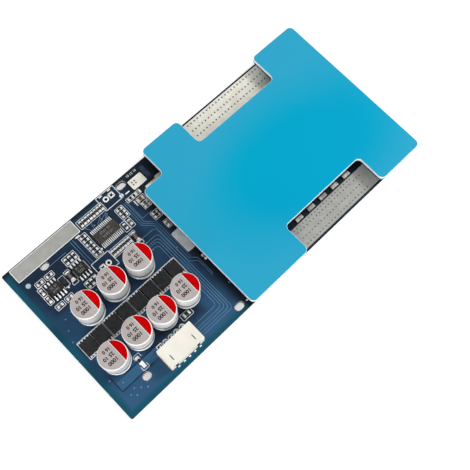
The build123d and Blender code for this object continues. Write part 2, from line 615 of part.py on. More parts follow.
# Side-entry header: a moulded shroud, open to the front, with two slits and key slots in its top
HEADER_BACK = HEADER_FRONT + HEADER_DEPTH
with BuildPart() as header_housing:
    header_x, header_y = spot(HEADER_MIDDLE, HEADER_FRONT)
    with BuildSketch(Plane.XY.offset(BOARD_TOP)):
        with Locations((header_x, header_y + HEADER_DEPTH / 2)):
            RectangleRounded(HEADER_LENGTH, HEADER_DEPTH, HEADER_CORNER)
    extrude(amount=HEADER_HEIGHT)
    cavity_length = HEADER_LENGTH - 2 * HEADER_SIDE_WALL
    cavity_height = HEADER_HEIGHT - HEADER_TOP_WALL - HEADER_BASE_WALL
    with Locations((header_x, header_y, BOARD_TOP + HEADER_BASE_WALL)):
        Box(cavity_length, HEADER_CAVITY_DEPTH, cavity_height,
            align=(Align.CENTER, Align.MIN, Align.MIN), mode=Mode.SUBTRACT)
    with BuildSketch(Plane.XY.offset(BOARD_TOP + HEADER_HEIGHT)):
        slit_y = header_y + HEADER_SLIT_FROM_FRONT + HEADER_SLIT_LENGTH / 2
        with Locations([(x, slit_y) for x in span(header_x, 2, HEADER_SLIT_SPACING)]):
            Rectangle(HEADER_SLIT_WIDTH, HEADER_SLIT_LENGTH)
    extrude(amount=-HEADER_TOP_WALL, mode=Mode.SUBTRACT)
    with BuildSketch(Plane.XY.offset(BOARD_TOP)):
        key_spots = [(x, header_y + HEADER_KEY_DEPTH / 2) for x in span(header_x, 2, HEADER_SLIT_SPACING)]
        with Locations(key_spots):
            Rectangle(HEADER_KEY_WIDTH, HEADER_KEY_DEPTH)
    extrude(amount=HEADER_BASE_WALL, mode=Mode.SUBTRACT)
    with BuildSketch(Plane.XZ.offset(-(header_y + HEADER_DEPTH))):
        with Locations([(x, BOARD_TOP + PIN_HEIGHT) for x in span(header_x, PIN_COUNT, PIN_PITCH)]):
            Rectangle(PIN_SIZE, PIN_SIZE)
    extrude(amount=HEADER_DEPTH - HEADER_CAVITY_DEPTH, mode=Mode.SUBTRACT)
finish(header_housing.part, "header_housing")

# Header pins: square wire, straight in the shroud, bent down behind it and soldered below
with BuildPart() as header_pins:
    for along, across in PIN_SPOTS:
        x, y = spot(along, across)
        tip = spot(0, HEADER_FRONT + HEADER_CAVITY_DEPTH - PIN_REACH)[1]
        with BuildLine() as pin_line:
            FilletPolyline((x, tip, BOARD_TOP + PIN_HEIGHT), (x, y, BOARD_TOP + PIN_HEIGHT),
                           (x, y, BOARD_BOTTOM - TAIL_LENGTH), radius=PIN_BEND)
        with BuildSketch(Plane((x, tip, BOARD_TOP + PIN_HEIGHT), z_dir=(0, 1, 0))):
            Rectangle(PIN_SIZE, PIN_SIZE)
        sweep(path=pin_line.line)
        with Locations((x, y, BOARD_BOTTOM - JOINT_HEIGHT / 2)):
            Cone(JOINT_TIP_RADIUS, JOINT_RADIUS, JOINT_HEIGHT)
finish(header_pins.part, "header_pins")
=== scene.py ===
import bpy
import json
from math import acos, cos, degrees, pi, radians, sin
from mathutils import Matrix, Vector

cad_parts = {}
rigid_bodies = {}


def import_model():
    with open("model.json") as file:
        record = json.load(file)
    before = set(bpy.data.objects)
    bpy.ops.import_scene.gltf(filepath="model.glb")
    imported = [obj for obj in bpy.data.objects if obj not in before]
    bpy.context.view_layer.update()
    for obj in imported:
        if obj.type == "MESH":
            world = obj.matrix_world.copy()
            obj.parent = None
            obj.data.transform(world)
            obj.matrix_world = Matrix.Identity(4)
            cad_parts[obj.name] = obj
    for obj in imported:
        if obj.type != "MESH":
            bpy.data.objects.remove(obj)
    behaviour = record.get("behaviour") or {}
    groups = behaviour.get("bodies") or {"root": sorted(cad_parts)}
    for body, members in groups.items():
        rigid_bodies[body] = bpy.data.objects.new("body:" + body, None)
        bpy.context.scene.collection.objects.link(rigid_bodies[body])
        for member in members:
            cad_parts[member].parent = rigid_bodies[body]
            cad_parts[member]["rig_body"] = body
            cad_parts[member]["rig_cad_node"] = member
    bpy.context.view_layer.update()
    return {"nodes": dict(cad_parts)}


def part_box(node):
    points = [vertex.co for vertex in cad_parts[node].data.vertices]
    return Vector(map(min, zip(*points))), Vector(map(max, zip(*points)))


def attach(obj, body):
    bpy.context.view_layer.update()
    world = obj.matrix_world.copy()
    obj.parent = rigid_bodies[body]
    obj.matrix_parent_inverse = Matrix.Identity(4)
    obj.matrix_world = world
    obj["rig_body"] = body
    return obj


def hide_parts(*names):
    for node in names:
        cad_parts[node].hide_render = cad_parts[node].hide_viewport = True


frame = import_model()
bpy.ops.object.select_all(action="DESELECT")

MM = 0.001
WHITE = (1.0, 1.0, 1.0, 1.0)
SOFT_LIGHT = 0.42
KEY_LIGHT = 1.5
FILL_LIGHT = 2.0
FLOOR_LIFT = 0.55
FLOOR_SIDE = 3.0

# Heights and widths of what is drawn on the board, in millimetres
POUR_HEIGHT = 0.012
GAP_HEIGHT = 0.013
MARGIN_HEIGHT = 0.014
TRACE_HEIGHT = 0.02
TRACE_WIDTH = 0.18
PRINT_LIFT = 0.015
PRINT_HEIGHT = 0.02
PRINT_WIDTH = 0.18
PLATE_TOP = 5.35
PIN_FIRST = 22.7
PIN_PITCH = 2.5
PIN_COUNT = 5

board_low, board_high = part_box("circuit_board")
BOARD_WIDTH = (board_high.y - board_low.y) / MM


def deselect():
    bpy.ops.object.select_all(action="DESELECT")


def set_mode(mode):
    bpy.ops.object.mode_set(mode=mode)


def new_object(name, data):
    """A new object in the scene, with its data."""
    made = bpy.data.objects.new(name, data)
    bpy.context.collection.objects.link(made)
    return made


def place(along, across, up=0.0):
    """A point from the board's near front corner, in millimetres, with its height over the board."""
    return Vector((board_low.x + along * MM, board_low.y + across * MM, board_high.z + up * MM))


def place_below(along, across, down=0.0):
    """The same on the board's underside, with its depth below it."""
    return Vector((board_low.x + along * MM, board_low.y + across * MM, board_low.z - down * MM))


def on_board(point):
    """How far a point is along and across the board, in millimetres."""
    return (point.x - board_low.x) / MM, (point.y - board_low.y) / MM


def top_of(node):
    """How high a node's top is over the board, in millimetres."""
    return (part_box(node)[1].z - board_high.z) / MM


def middle_of(node):
    low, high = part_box(node)
    return (low + high) / 2


# ---- Nodes

def wired(tree, kind, inputs=None, **settings):
    """A new node with its settings. Each input is linked to a node or a socket, or has its value."""
    node = tree.nodes.new(kind)
    for setting, value in settings.items():
        setattr(node, setting, value)
    for socket, value in (inputs or {}).items():
        if isinstance(value, bpy.types.Node):
            value = value.outputs[0]
        if isinstance(value, bpy.types.NodeSocket):
            tree.links.new(value, node.inputs[socket])
        else:
            node.inputs[socket].default_value = value
    return node


def greater(tree, first, second):
    """The greater of two values."""
    return wired(tree, "ShaderNodeMath", {0: first, 1: second}, operation="MAXIMUM")


def fade(tree, value, start, end, most=1.0, curve="SMOOTHSTEP"):
    """A mask that is black where a value is at its start and rises to its most at the end."""
    return wired(tree, "ShaderNodeMapRange", interpolation_type=curve, inputs={
        "Value": value, "From Min": start, "From Max": end, "To Max": most})


def object_place(tree):
    return wired(tree, "ShaderNodeTexCoord").outputs["Object"]


# ---- Camera, lamps and floor

camera_data = bpy.data.cameras.new("camera")
camera = new_object("camera", camera_data)
bpy.context.scene.camera = camera
camera.location = (-0.062652, -0.059987, 0.247161)
camera.rotation_euler = (radians(17.16765), radians(-3.69252), radians(-44.68291))
camera_data.sensor_width = 36.0
camera_data.lens = 55.05
camera_data.shift_x = -0.04255
camera_data.shift_y = 0.01064
camera_data.clip_start = 0.01

bpy.context.scene.view_settings.view_transform = "Standard"

world = bpy.data.worlds.new("studio")
bpy.context.scene.world = world
world.use_nodes = True
sky = world.node_tree
sky.nodes.clear()
sky_path = wired(sky, "ShaderNodeLightPath").outputs
sky_seen = greater(sky, sky_path["Is Camera Ray"], sky_path["Is Transmission Ray"])
sky_mix = wired(sky, "ShaderNodeMixShader", {
    "Fac": greater(sky, sky_seen, sky_path["Is Glossy Ray"]),
    1: wired(sky, "ShaderNodeBackground", {"Color": WHITE, "Strength": SOFT_LIGHT}),
    2: wired(sky, "ShaderNodeBackground", {"Color": WHITE, "Strength": 1.0})})
wired(sky, "ShaderNodeOutputWorld", {"Surface": sky_mix})


def sun(name, energy, turn, spread):
    """A sun lamp, with its turn and the angle it spreads over in degrees."""
    light = bpy.data.lights.new(name, "SUN")
    light.energy = energy
    light.angle = radians(spread)
    new_object(name, light).rotation_euler = [radians(angle) for angle in turn]


sun("key_lamp", KEY_LIGHT, (6, 43, 0), 18)
sun("fill_lamp", FILL_LIGHT, (68, 0, -40), 50)

bpy.ops.mesh.primitive_plane_add(size=1.0, location=(0.0, 0.0, 0.0))
floor = bpy.context.active_object
floor.name = "studio_floor"
floor.data.transform(Matrix.Diagonal((FLOOR_SIDE, FLOOR_SIDE, 1.0, 1.0)))
floor_paint = bpy.data.materials.new("floor_paint")
floor_paint.use_nodes = True
floor_tree = floor_paint.node_tree
floor_tree.nodes.clear()
floor_path = wired(floor_tree, "ShaderNodeLightPath").outputs
floor_seen = greater(floor_tree, floor_path["Is Camera Ray"], floor_path["Is Glossy Ray"])
floor_share = wired(floor_tree, "ShaderNodeMath", {0: floor_seen, 1: FLOOR_LIFT}, operation="MULTIPLY")
floor_sum = wired(floor_tree, "ShaderNodeAddShader", {
    0: wired(floor_tree, "ShaderNodeBsdfDiffuse", {"Color": (0.8, 0.8, 0.8, 1.0)}),
    1: wired(floor_tree, "ShaderNodeEmission", {"Color": WHITE, "Strength": floor_share})})
wired(floor_tree, "ShaderNodeOutputMaterial", {"Surface": floor_sum})
floor.data.materials.append(floor_paint)
deselect()


# ---- Shared effects

def new_group(name, values, outputs):
    """A node group with its inputs and their values, and its outputs. It gives its tree and inputs."""
    group = bpy.data.node_groups.new(name, "ShaderNodeTree")
    for socket, value in values.items():
        kind = "NodeSocketVector" if isinstance(value, tuple) else "NodeSocketFloat"
        group.interface.new_socket(name=socket, in_out="INPUT", socket_type=kind).default_value = value
    for socket, kind in outputs.items():
        group.interface.new_socket(name=socket, in_out="OUTPUT", socket_type=kind)
    return group, wired(group, "NodeGroupInput").outputs


# Fine grain: a mask and a bumped normal, stretched where the surface was drawn, rolled or brushed
grain, grain_in = new_group("fine_grain", {"Size": 1000.0, "Stretch": (1.0, 1.0, 1.0), "Depth": 0.00001},
                            {"Mask": "NodeSocketFloat", "Normal": "NodeSocketVector"})
grain_stretch = wired(grain, "ShaderNodeVectorMath", {0: object_place(grain), 1: grain_in["Stretch"]},
                      operation="MULTIPLY")
grain_noise = wired(grain, "ShaderNodeTexNoise",
                    {"Vector": grain_stretch, "Scale": grain_in["Size"], "Detail": 3.0})
grain_bump = wired(grain, "ShaderNodeBump", {"Height": grain_noise, "Distance": grain_in["Depth"]})
wired(grain, "NodeGroupOutput", {"Mask": grain_noise, "Normal": grain_bump})

# Cloudy patches: a soft mask with its contrast drawn out, for uneven colour and wiped gloss
patches, patches_in = new_group("cloudy_patches", {"Size": 100.0, "From": 0.35, "To": 0.65},
                                {"Mask": "NodeSocketFloat"})
patches_noise = wired(patches, "ShaderNodeTexNoise",
                      {"Vector": object_place(patches), "Scale": patches_in["Size"], "Detail": 4.0})
patches_range = wired(patches, "ShaderNodeMapRange", {
    "Value": patches_noise, "From Min": patches_in["From"], "From Max": patches_in["To"]})
wired(patches, "NodeGroupOutput", {"Mask": patches_range})


# ---- Finishes

def colour(red, green, blue):
    """A colour as a screen shows it, from 0 to 255, made linear."""
    return tuple((c / 255 / 12.92) if c <= 10 else ((c / 255 + 0.055) / 1.055) ** 2.4
                 for c in (red, green, blue)) + (1.0,)


def finish_of(name, base, shade, roughness, metallic=0.0, patch_size=900.0, patch_from=0.35, patch_to=0.65,
              grain_size=2000.0, grain_stretch=(1.0, 1.0, 1.0), grain_depth=0.000004, gloss_range=0.1,
              **sockets):
    """A material that goes from its base colour to a shade of it in patches, with a fine grain."""
    material = bpy.data.materials.new(name)
    material.use_nodes = True
    tree = material.node_tree
    shader = tree.nodes["Principled BSDF"]
    shader.inputs["Metallic"].default_value = metallic
    for socket, value in sockets.items():
        shader.inputs[socket.replace("_", " ")].default_value = value
    cloud = wired(tree, "ShaderNodeGroup", {"Size": patch_size, "From": patch_from, "To": patch_to},
                  node_tree=patches)
    fine = wired(tree, "ShaderNodeGroup",
                 {"Size": grain_size, "Stretch": grain_stretch, "Depth": grain_depth}, node_tree=grain)
    paint = wired(tree, "ShaderNodeMix", {"Factor": cloud, "A": colour(*base), "B": colour(*shade)},
                  data_type="RGBA")
    gloss = wired(tree, "ShaderNodeMapRange", {
        "Value": fine.outputs["Mask"], "To Min": max(0.02, roughness - gloss_range / 2),
        "To Max": roughness + gloss_range / 2})
    tree.links.new(paint.outputs["Result"], shader.inputs["Base Color"])
    tree.links.new(gloss.outputs["Result"], shader.inputs["Roughness"])
    tree.links.new(fine.outputs["Normal"], shader.inputs["Normal"])
    return material


def mixed_over(material, mask, over):
    """Lays a colour over a material's paint where a mask is white."""
    tree = material.node_tree
    painted = tree.nodes["Principled BSDF"].inputs["Base Color"]
    layer = wired(tree, "ShaderNodeMix", {"Factor": mask, "A": painted.links[0].from_socket, "B": over},
                  data_type="RGBA")
    tree.links.new(layer.outputs["Result"], painted)


MASK = dict(grain_size=900.0, Specular_IOR_Level=0.15)
TIN = dict(metallic=0.1, grain_size=1100.0, grain_depth=0.00003, gloss_range=0.2, Specular_IOR_Level=0.2)
CAN = dict(patch_size=260.0, grain_size=1400.0)
MOULDED = dict(grain_size=3600.0, grain_depth=0.00002, gloss_range=0.2, Specular_IOR_Level=0.15)

board_mask, under_mask = [
    finish_of(name, (18, 48, 78), (38, 76, 110), 0.4, patch_size=90.0, grain_depth=0.000003, **MASK)
    for name in ("board_mask", "under_mask")]
trace_mask = finish_of("trace_mask", (92, 130, 166), (106, 146, 180), 0.4, patch_size=120.0, **MASK)
pour_mask = finish_of("pour_mask", (46, 88, 122), (54, 98, 132), 0.4, patch_size=90.0, **MASK)
gap_and_shade_mask = finish_of("gap_and_shade_mask", (10, 20, 32), (14, 26, 38), 0.45, patch_size=120.0, grain_size=900.0,
                     Specular_IOR_Level=0.1)
dim_mask = finish_of("dim_mask", (46, 60, 80), (62, 78, 98), 0.45, patch_size=700.0, Specular_IOR_Level=0.1)
laminate = finish_of("laminate", (30, 40, 42), (52, 62, 56), 0.7, grain_size=1500.0,
                     grain_stretch=(0.2, 0.2, 3.0), grain_depth=0.00002)
white_ink = finish_of("white_ink", (246, 248, 248), (224, 230, 234), 0.6, patch_size=600.0,
                      patch_from=0.5, patch_to=0.8, grain_size=3000.0, grain_depth=0.000003)
grey_tin = finish_of("grey_tin", (171, 171, 167), (160, 161, 156), 0.5, patch_size=420.0, **TIN)
ivory_tin = finish_of("ivory_tin", (238, 236, 224), (226, 222, 210), 0.5, patch_size=420.0, **TIN)
# The link pad's tin is painted lighter than the rest, as light against the plate's shadow on it
lightened_link_tin = finish_of("lightened_link_tin", (226, 228, 228), (200, 202, 204), 0.5, patch_size=300.0, **TIN)
bright_solder = finish_of("bright_solder", (252, 252, 250), (232, 232, 230), 0.3, metallic=0.15,
                          patch_size=500.0, grain_size=900.0, grain_depth=0.00003, gloss_range=0.16)
tinned_leads = finish_of("tinned_leads", (250, 250, 248), (228, 228, 226), 0.34, metallic=0.15,
                         grain_size=1800.0, grain_depth=0.00001, gloss_range=0.14)
bright_leads = finish_of("bright_leads", (255, 255, 255), (240, 240, 240), 0.4, grain_size=1800.0,
                         grain_depth=0.00001)
# A duller, darker solder on the slot rings and the shunt ends
dull_solder = finish_of("dull_solder", (196, 190, 186), (132, 128, 126), 0.4, metallic=0.3,
                        grain_size=1500.0, grain_depth=0.00002)
hole_shade = finish_of("hole_shade", (14, 16, 20), (6, 8, 10), 0.7, Specular_IOR_Level=0.1)
sight_mark = finish_of("sight_mark", (176, 200, 214), (150, 182, 202), 0.3, patch_size=700.0)
plate_blue = finish_of("plate_blue", (0, 164, 200), (0, 160, 199), 0.45, metallic=0.1, patch_size=14.0,
                       grain_size=5200.0, gloss_range=0.12, Specular_IOR_Level=0.03)
plate_edge = finish_of("plate_edge", (250, 251, 252), (226, 232, 238), 0.32, metallic=0.15,
                       patch_size=400.0, grain_size=1200.0, grain_stretch=(1.0, 1.0, 6.0),
                       grain_depth=0.00002, gloss_range=0.2)
can_metal = finish_of("can_metal", (246, 246, 245), (222, 223, 224), 0.34, metallic=0.15,
                      grain_stretch=(1.0, 1.0, 0.08), gloss_range=0.16, **CAN)
can_rim_highlight = finish_of("can_rim_highlight", (255, 255, 255), (244, 244, 244), 0.3, metallic=0.1, **CAN)
can_painted_groove_shadow = finish_of("can_painted_groove_shadow", (34, 35, 38), (24, 25, 28), 0.45, metallic=0.1,
                           Specular_IOR_Level=0.15, **CAN)
can_grey_print = finish_of("can_grey_print", (188, 180, 178), (178, 170, 167), 0.42, metallic=0.1,
                           patch_size=300.0, grain_size=2600.0, Specular_IOR_Level=0.15)
can_red_print = finish_of("can_red_print", (208, 0, 2), (190, 0, 2), 0.5, patch_size=300.0,
                          grain_size=2600.0, Specular_IOR_Level=0.02)
can_red_shade = finish_of("can_red_shade", (110, 4, 6), (90, 4, 6), 0.5, patch_size=300.0,
                          Specular_IOR_Level=0.02)
dark_print = finish_of("dark_print", (34, 18, 22), (60, 40, 42), 0.5, patch_size=1200.0, patch_from=0.5,
                       patch_to=0.85, Specular_IOR_Level=0.15)
bung_rubber = finish_of("bung_rubber", (34, 34, 34), (48, 46, 44), 0.75, patch_size=400.0,
                        grain_size=2500.0, grain_depth=0.00001)
ivory_nylon = finish_of("ivory_nylon", (240, 237, 227), (232, 228, 216), 0.42, patch_size=120.0,
                        grain_size=2200.0, grain_depth=0.000006, Subsurface_Weight=0.15,
                        Subsurface_Scale=0.0008)
black_epoxy = finish_of("black_epoxy", (28, 29, 31), (44, 44, 46), 0.5, **MOULDED)
monitor_epoxy = finish_of("monitor_epoxy", (50, 49, 48), (76, 73, 68), 0.5, **MOULDED)
resistor_glaze = finish_of("resistor_glaze", (22, 22, 25), (36, 35, 38), 0.28, grain_size=2600.0,
                           Coat_Weight=0.12, Coat_Roughness=0.1, Specular_IOR_Level=0.2)
white_ceramic = finish_of("white_ceramic", (224, 222, 216), (206, 204, 198), 0.6, grain_size=3000.0)
capacitor_ceramic = finish_of("capacitor_ceramic", (150, 134, 122), (126, 112, 104), 0.5,
                              grain_size=3000.0, grain_depth=0.000008)
dark_ceramic = finish_of("dark_ceramic", (96, 44, 40), (112, 56, 48), 0.4, grain_size=3000.0)
diode_glass = finish_of("diode_glass", (240, 214, 196), (232, 202, 184), 0.06, patch_size=400.0,
                        grain_size=600.0, gloss_range=0.04, Transmission_Weight=0.85, IOR=1.5)
diode_slug = finish_of("diode_slug", (92, 46, 40), (58, 30, 30), 0.3, metallic=0.4, patch_size=1500.0)
grey_ink = finish_of("grey_ink", (150, 150, 150), (116, 116, 118), 0.6, patch_size=1500.0)
shunt_alloy = finish_of("shunt_alloy", (120, 104, 92), (98, 84, 74), 0.34, metallic=0.7,
                        patch_size=300.0, grain_size=1500.0, grain_stretch=(4.0, 0.15, 1.0),
                        grain_depth=0.00001, gloss_range=0.16)
gap_filler = finish_of("gap_filler", (150, 162, 172), (134, 146, 158), 0.8, patch_size=250.0,
                       grain_size=1800.0, grain_depth=0.00003)
spacer_brass = finish_of("spacer_brass", (206, 176, 104), (184, 152, 84), 0.3, metallic=1.0,
                         patch_size=400.0, grain_size=1500.0, grain_stretch=(1.0, 1.0, 5.0),
                         grain_depth=0.00001)
screw_steel = finish_of("screw_steel", (196, 196, 194), (168, 170, 172), 0.3, metallic=1.0,
                        patch_size=500.0, grain_size=1500.0, grain_depth=0.00001)

# The board's upper face is deeper towards its far side and lighter near the front, and painted near black
# beside the heat plate's edge as the plate's shadow
board_tree = board_mask.node_tree
board_place = object_place(board_tree)
board_where = wired(board_tree, "ShaderNodeSeparateXYZ", {"Vector": board_place}).outputs


def outside_of(centre, half_length, half_width):
    """How far a spot on the board lies outside a rectangle about a point, all in metres."""
    about = wired(board_tree, "ShaderNodeVectorMath", {0: board_place, 1: centre}, operation="SUBTRACT")
    off = wired(board_tree, "ShaderNodeVectorMath", {0: about}, operation="ABSOLUTE")
    past = wired(board_tree, "ShaderNodeVectorMath", {0: off, 1: (half_length, half_width, 1.0)},
                 operation="SUBTRACT")
    parts = wired(board_tree, "ShaderNodeSeparateXYZ", {"Vector": past}).outputs
    return greater(board_tree, parts["X"], parts["Y"])


# Fades, each as (axis, from, to, strength, colour); the one along X is painted shadow of the heat plate
for axis, start, end, most, shade in (("Y", 22, 4, 0.65, (50, 92, 126)), ("Y", 36, 60, 0.8, (20, 38, 56)),
                                      ("X", 50.8, 54.4, 0.9, (8, 13, 20))):
    origin = board_low.x if axis == "X" else board_low.y
    mask = fade(board_tree, board_where[axis], origin + start * MM, origin + end * MM, most)
    mixed_over(board_mask, mask, colour(*shade))

# Patches, each as (along from, along to, across from, across to, blur, strength, shade). The navy ones are
# painted shade between and round the tall parts; the last is a lighter patch
PAINTED_SHADE_NAVY = (12, 26, 44)
for x0, x1, y0, y1, blur, strength, shade in (
        (20.0, 40.0, 12.0, 20.0, 5.0, 0.8, PAINTED_SHADE_NAVY), (16.0, 48.0, 31.0, 43.0, 4.0, 0.45, PAINTED_SHADE_NAVY),
        (6.0, 24.0, 43.0, 58.0, 3.0, 0.55, PAINTED_SHADE_NAVY), (27.5, 44.5, 44.0, 60.0, 3.0, 0.4, PAINTED_SHADE_NAVY),
        (2.0, 9.0, 34.0, 41.0, 3.0, 0.6, (40, 80, 112))):
    outside = outside_of(place((x0 + x1) / 2, (y0 + y1) / 2), (x1 - x0) / 2 * MM, (y1 - y0) / 2 * MM)
    mixed_over(board_mask, fade(board_tree, outside, blur * MM, 0.0, strength), colour(*shade))

# Teal laminate shows at the margin, where the copper stops. It is dark towards the far side, and painted dark
# from the plate's edge on, as the plate's shadow
far_side = fade(board_tree, board_where["Y"], board_high.y - 2.4 * MM, board_high.y - 1.0 * MM,
                curve="LINEAR")
painted_plate_shadow = fade(board_tree, board_where["X"], board_low.x + 53.6 * MM, board_low.x + 54.6 * MM,
                curve="LINEAR")
margin_paint = wired(board_tree, "ShaderNodeMix", {
    "Factor": greater(board_tree, far_side, painted_plate_shadow), "A": colour(8, 78, 98), "B": colour(15, 30, 42)},
    data_type="RGBA")
margin = outside_of((board_low + board_high) / 2, (board_high.x - board_low.x) / 2 - 1.1 * MM,
                    (board_high.y - board_low.y) / 2 - 1.0 * MM)
mixed_over(board_mask, fade(board_tree, margin, -0.0020, 0.0002), margin_paint.outputs["Result"])

# The plate: its blue pales away from a deep patch in the middle
SQUASH = 1.7
plate_tree = plate_blue.node_tree
plate_middle = place(108.0, 25.0, PLATE_TOP)
plate_squash = wired(plate_tree, "ShaderNodeVectorMath", {0: object_place(plate_tree), 1: (1.0, SQUASH, 1.0)},
                     operation="MULTIPLY")
plate_reach = wired(plate_tree, "ShaderNodeVectorMath", {
    0: plate_squash, 1: (plate_middle.x, plate_middle.y * SQUASH, plate_middle.z)}, operation="DISTANCE")
plate_cloud = wired(plate_tree, "ShaderNodeTexNoise",
                    {"Vector": object_place(plate_tree), "Scale": 30.0, "Detail": 5.0})
plate_stir = wired(plate_tree, "ShaderNodeMath",
                   {0: plate_cloud, 1: 0.02, 2: plate_reach.outputs["Value"]}, operation="MULTIPLY_ADD")
mixed_over(plate_blue, fade(plate_tree, plate_stir, 0.034, 0.068), colour(48, 164, 200))

# Its cut edge is bare and light at the top and turns darker below
plate_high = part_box("heat_plate")[1]
edge_tree = plate_edge.node_tree
edge_height = wired(edge_tree, "ShaderNodeSeparateXYZ", {"Vector": object_place(edge_tree)}).outputs["Z"]
edge_dark = fade(edge_tree, edge_height, plate_high.z - 0.9 * MM, plate_high.z - 1.2 * MM, curve="LINEAR")
mixed_over(plate_edge, edge_dark, colour(34, 42, 50))


# ---- Making pieces

def only(piece):
    """Makes a piece the one that is selected and active."""
    deselect()
    piece.select_set(True)
    bpy.context.view_layer.objects.active = piece


def meshed(piece):
    """A curve or a text, made a mesh."""
    only(piece)
    bpy.ops.object.convert(target="MESH")
    return bpy.context.active_object


def settle(piece):
    """Puts a piece's place into its mesh, with its object at the origin."""
    only(piece)
    bpy.ops.object.transform_apply(location=True, rotation=True, scale=True)
    deselect()
    return piece


def dress(piece, *materials):
    piece.data.materials.clear()
    for material in materials:
        piece.data.materials.append(material)


def fit(piece, name, slot, *nodes):
    """Names a finished piece, fastens it to the board, and lets it stand for CAD nodes."""
    piece.name = name
    piece.data.name = name
    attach(piece, "root")
    if nodes:
        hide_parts(*nodes)
    return piece


def smoothed(piece):
    """Smooths a piece's rounded edges and leaves its flat faces flat."""
    only(piece)
    bpy.ops.object.shade_smooth_by_angle(angle=radians(40))
    flats = piece.modifiers.new("flats", "WEIGHTED_NORMAL")
    flats.keep_sharp = True
    bpy.ops.object.modifier_apply(modifier=flats.name)
    deselect()


def bevelled(piece, width, segments=2, angle=35.0):
    """Rounds a piece's edges, in millimetres, and smooths what is left."""
    only(piece)
    edges = piece.modifiers.new("edges", "BEVEL")
    edges.width = width * MM
    edges.segments = segments
    edges.limit_method = "ANGLE"
    edges.angle_limit = radians(angle)
    bpy.ops.object.modifier_apply(modifier=edges.name)
    smoothed(piece)
    return piece


def twin(model, matrix=Matrix.Identity(4)):
    """A copy of a piece with its own mesh, moved by a matrix."""
    piece = model.copy()
    piece.data = model.data.copy()
    piece.data.transform(matrix)
    bpy.context.collection.objects.link(piece)
    return piece


def merged_copy(node):
    """A copy of a CAD node with its loose triangles merged into whole faces."""
    piece = twin(frame["nodes"][node])
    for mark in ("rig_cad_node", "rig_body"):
        if mark in piece:
            del piece[mark]
    piece.parent = None
    piece.matrix_world = Matrix.Identity(4)
    piece.hide_render = False
    only(piece)
    set_mode("EDIT")
    bpy.ops.mesh.select_all(action="SELECT")
    bpy.ops.mesh.remove_doubles(threshold=0.000001)
    bpy.ops.mesh.dissolve_limited(angle_limit=radians(1.0))
    set_mode("OBJECT")
    deselect()
    return piece


def softened(node, slot, material, width, segments=2, angle=35.0):
    """A CAD node with its edges rounded, in its own finish."""
    piece = merged_copy(node)
    dress(piece, material)
    bevelled(piece, width, segments, angle)
    return fit(piece, node + "_finished", slot, node)


def faces_in_edit(piece, test):
    """Selects, in edit mode, the faces whose middle and normal pass a test."""
    only(piece)
    set_mode("EDIT")
    bpy.ops.mesh.select_mode(type="FACE")
    bpy.ops.mesh.select_all(action="DESELECT")
    set_mode("OBJECT")
    for face in piece.data.polygons:
        face.select = test(face.center, face.normal)
    set_mode("EDIT")


def back_to_object():
    set_mode("OBJECT")
    deselect()


def block(size, centre, material, width=0.0, segments=1):
    """A rectangular block in millimetres about a point, with its edges bevelled."""
    deselect()
    bpy.ops.mesh.primitive_cube_add(size=1.0, location=centre,
                                    scale=(size[0] * MM, size[1] * MM, size[2] * MM))
    piece = settle(bpy.context.active_object)
    dress(piece, material)
    if width:
        bevelled(piece, width, segments)
    return piece


def drum(radius, height, centre, material, sides=32, turn=(0.0, 0.0, 0.0)):
    """A round blank in millimetres about a point."""
    deselect()
    bpy.ops.mesh.primitive_cylinder_add(vertices=sides, radius=radius * MM, depth=height * MM,
                                        location=centre, rotation=turn)
    piece = settle(bpy.context.active_object)
    dress(piece, material)
    return piece


def joined(pieces):
    """Several pieces made one."""
    deselect()
    for piece in pieces:
        piece.select_set(True)
    bpy.context.view_layer.objects.active = pieces[0]
    if len(pieces) > 1:
        bpy.ops.object.join()
    deselect()
    return pieces[0]


def copies(model, matrices):
    """Copies of a model, each with its own mesh, joined as one piece. The model is used up."""
    made = [twin(model, matrix) for matrix in matrices]
    bpy.data.objects.remove(model)
    return joined(made)


def loose_boxes(node):
    """The low and high corners of each separate solid in a CAD node."""
    piece = merged_copy(node)
    only(piece)
    set_mode("EDIT")
    bpy.ops.mesh.select_all(action="SELECT")
    bpy.ops.mesh.separate(type="LOOSE")
    set_mode("OBJECT")
    found = []
    for solid in list(bpy.context.selected_objects):
        spots = [v.co for v in solid.data.vertices]
        low = Vector([min(s[i] for s in spots) for i in range(3)])
        high = Vector([max(s[i] for s in spots) for i in range(3)])
        found.append((low, high))
        bpy.data.objects.remove(solid)
    return sorted(found, key=lambda pair: tuple(round(c, 6) for c in pair[0]))


def rounded(points, radius, closed=False, steps=4):
    """A path in millimetres with its corners turned in small arcs."""
    count = len(points)
    path = []
    for i, corner in enumerate(points):
        corner = Vector(corner)
        if not closed and i in (0, count - 1):
            path.append(tuple(corner))
            continue
        before = Vector(points[i - 1]) - corner
        after = Vector(points[(i + 1) % count]) - corner
        reach = min(radius, before.length / 2, after.length / 2)
        start = corner + before.normalized() * reach
        end = corner + after.normalized() * reach
        for step in range(steps + 1):
            s = step / steps
            path.append(tuple(start * (1 - s) ** 2 + corner * 2 * s * (1 - s) + end * s ** 2))
    return path


def box_path(x0, x1, y0, y1, radius=0.3):
    return rounded([(x0, y0), (x1, y0), (x1, y1), (x0, y1)], radius, closed=True)


def path_round(node, reach, radius):
    """A path round a node's box, a reach outside it."""
    (x0, y0), (x1, y1) = map(on_board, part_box(node))
    return box_path(x0 - reach, x1 + reach, y0 - reach, y1 + reach, radius)


def ring_path(along, across, radius, stretch=0.0, steps=20):
    """A circle, or a slot's outline where it is stretched along the board."""
    path = []
    for i in range(steps):
        angle = 2 * pi * (i + 0.5) / steps
        path.append((along + radius * cos(angle) + (stretch if cos(angle) > 0 else -stretch),
                     across + radius * sin(angle)))
    return path


def add_line(curve, points, closed=False):
    """A straight-sided line through points, in metres, in a curve."""
    spline = curve.splines.new("POLY")
    spline.points.add(len(points) - 1)
    for point, spot in zip(spline.points, points):
        point.co = (*spot, 1.0)
    spline.use_cyclic_u = closed


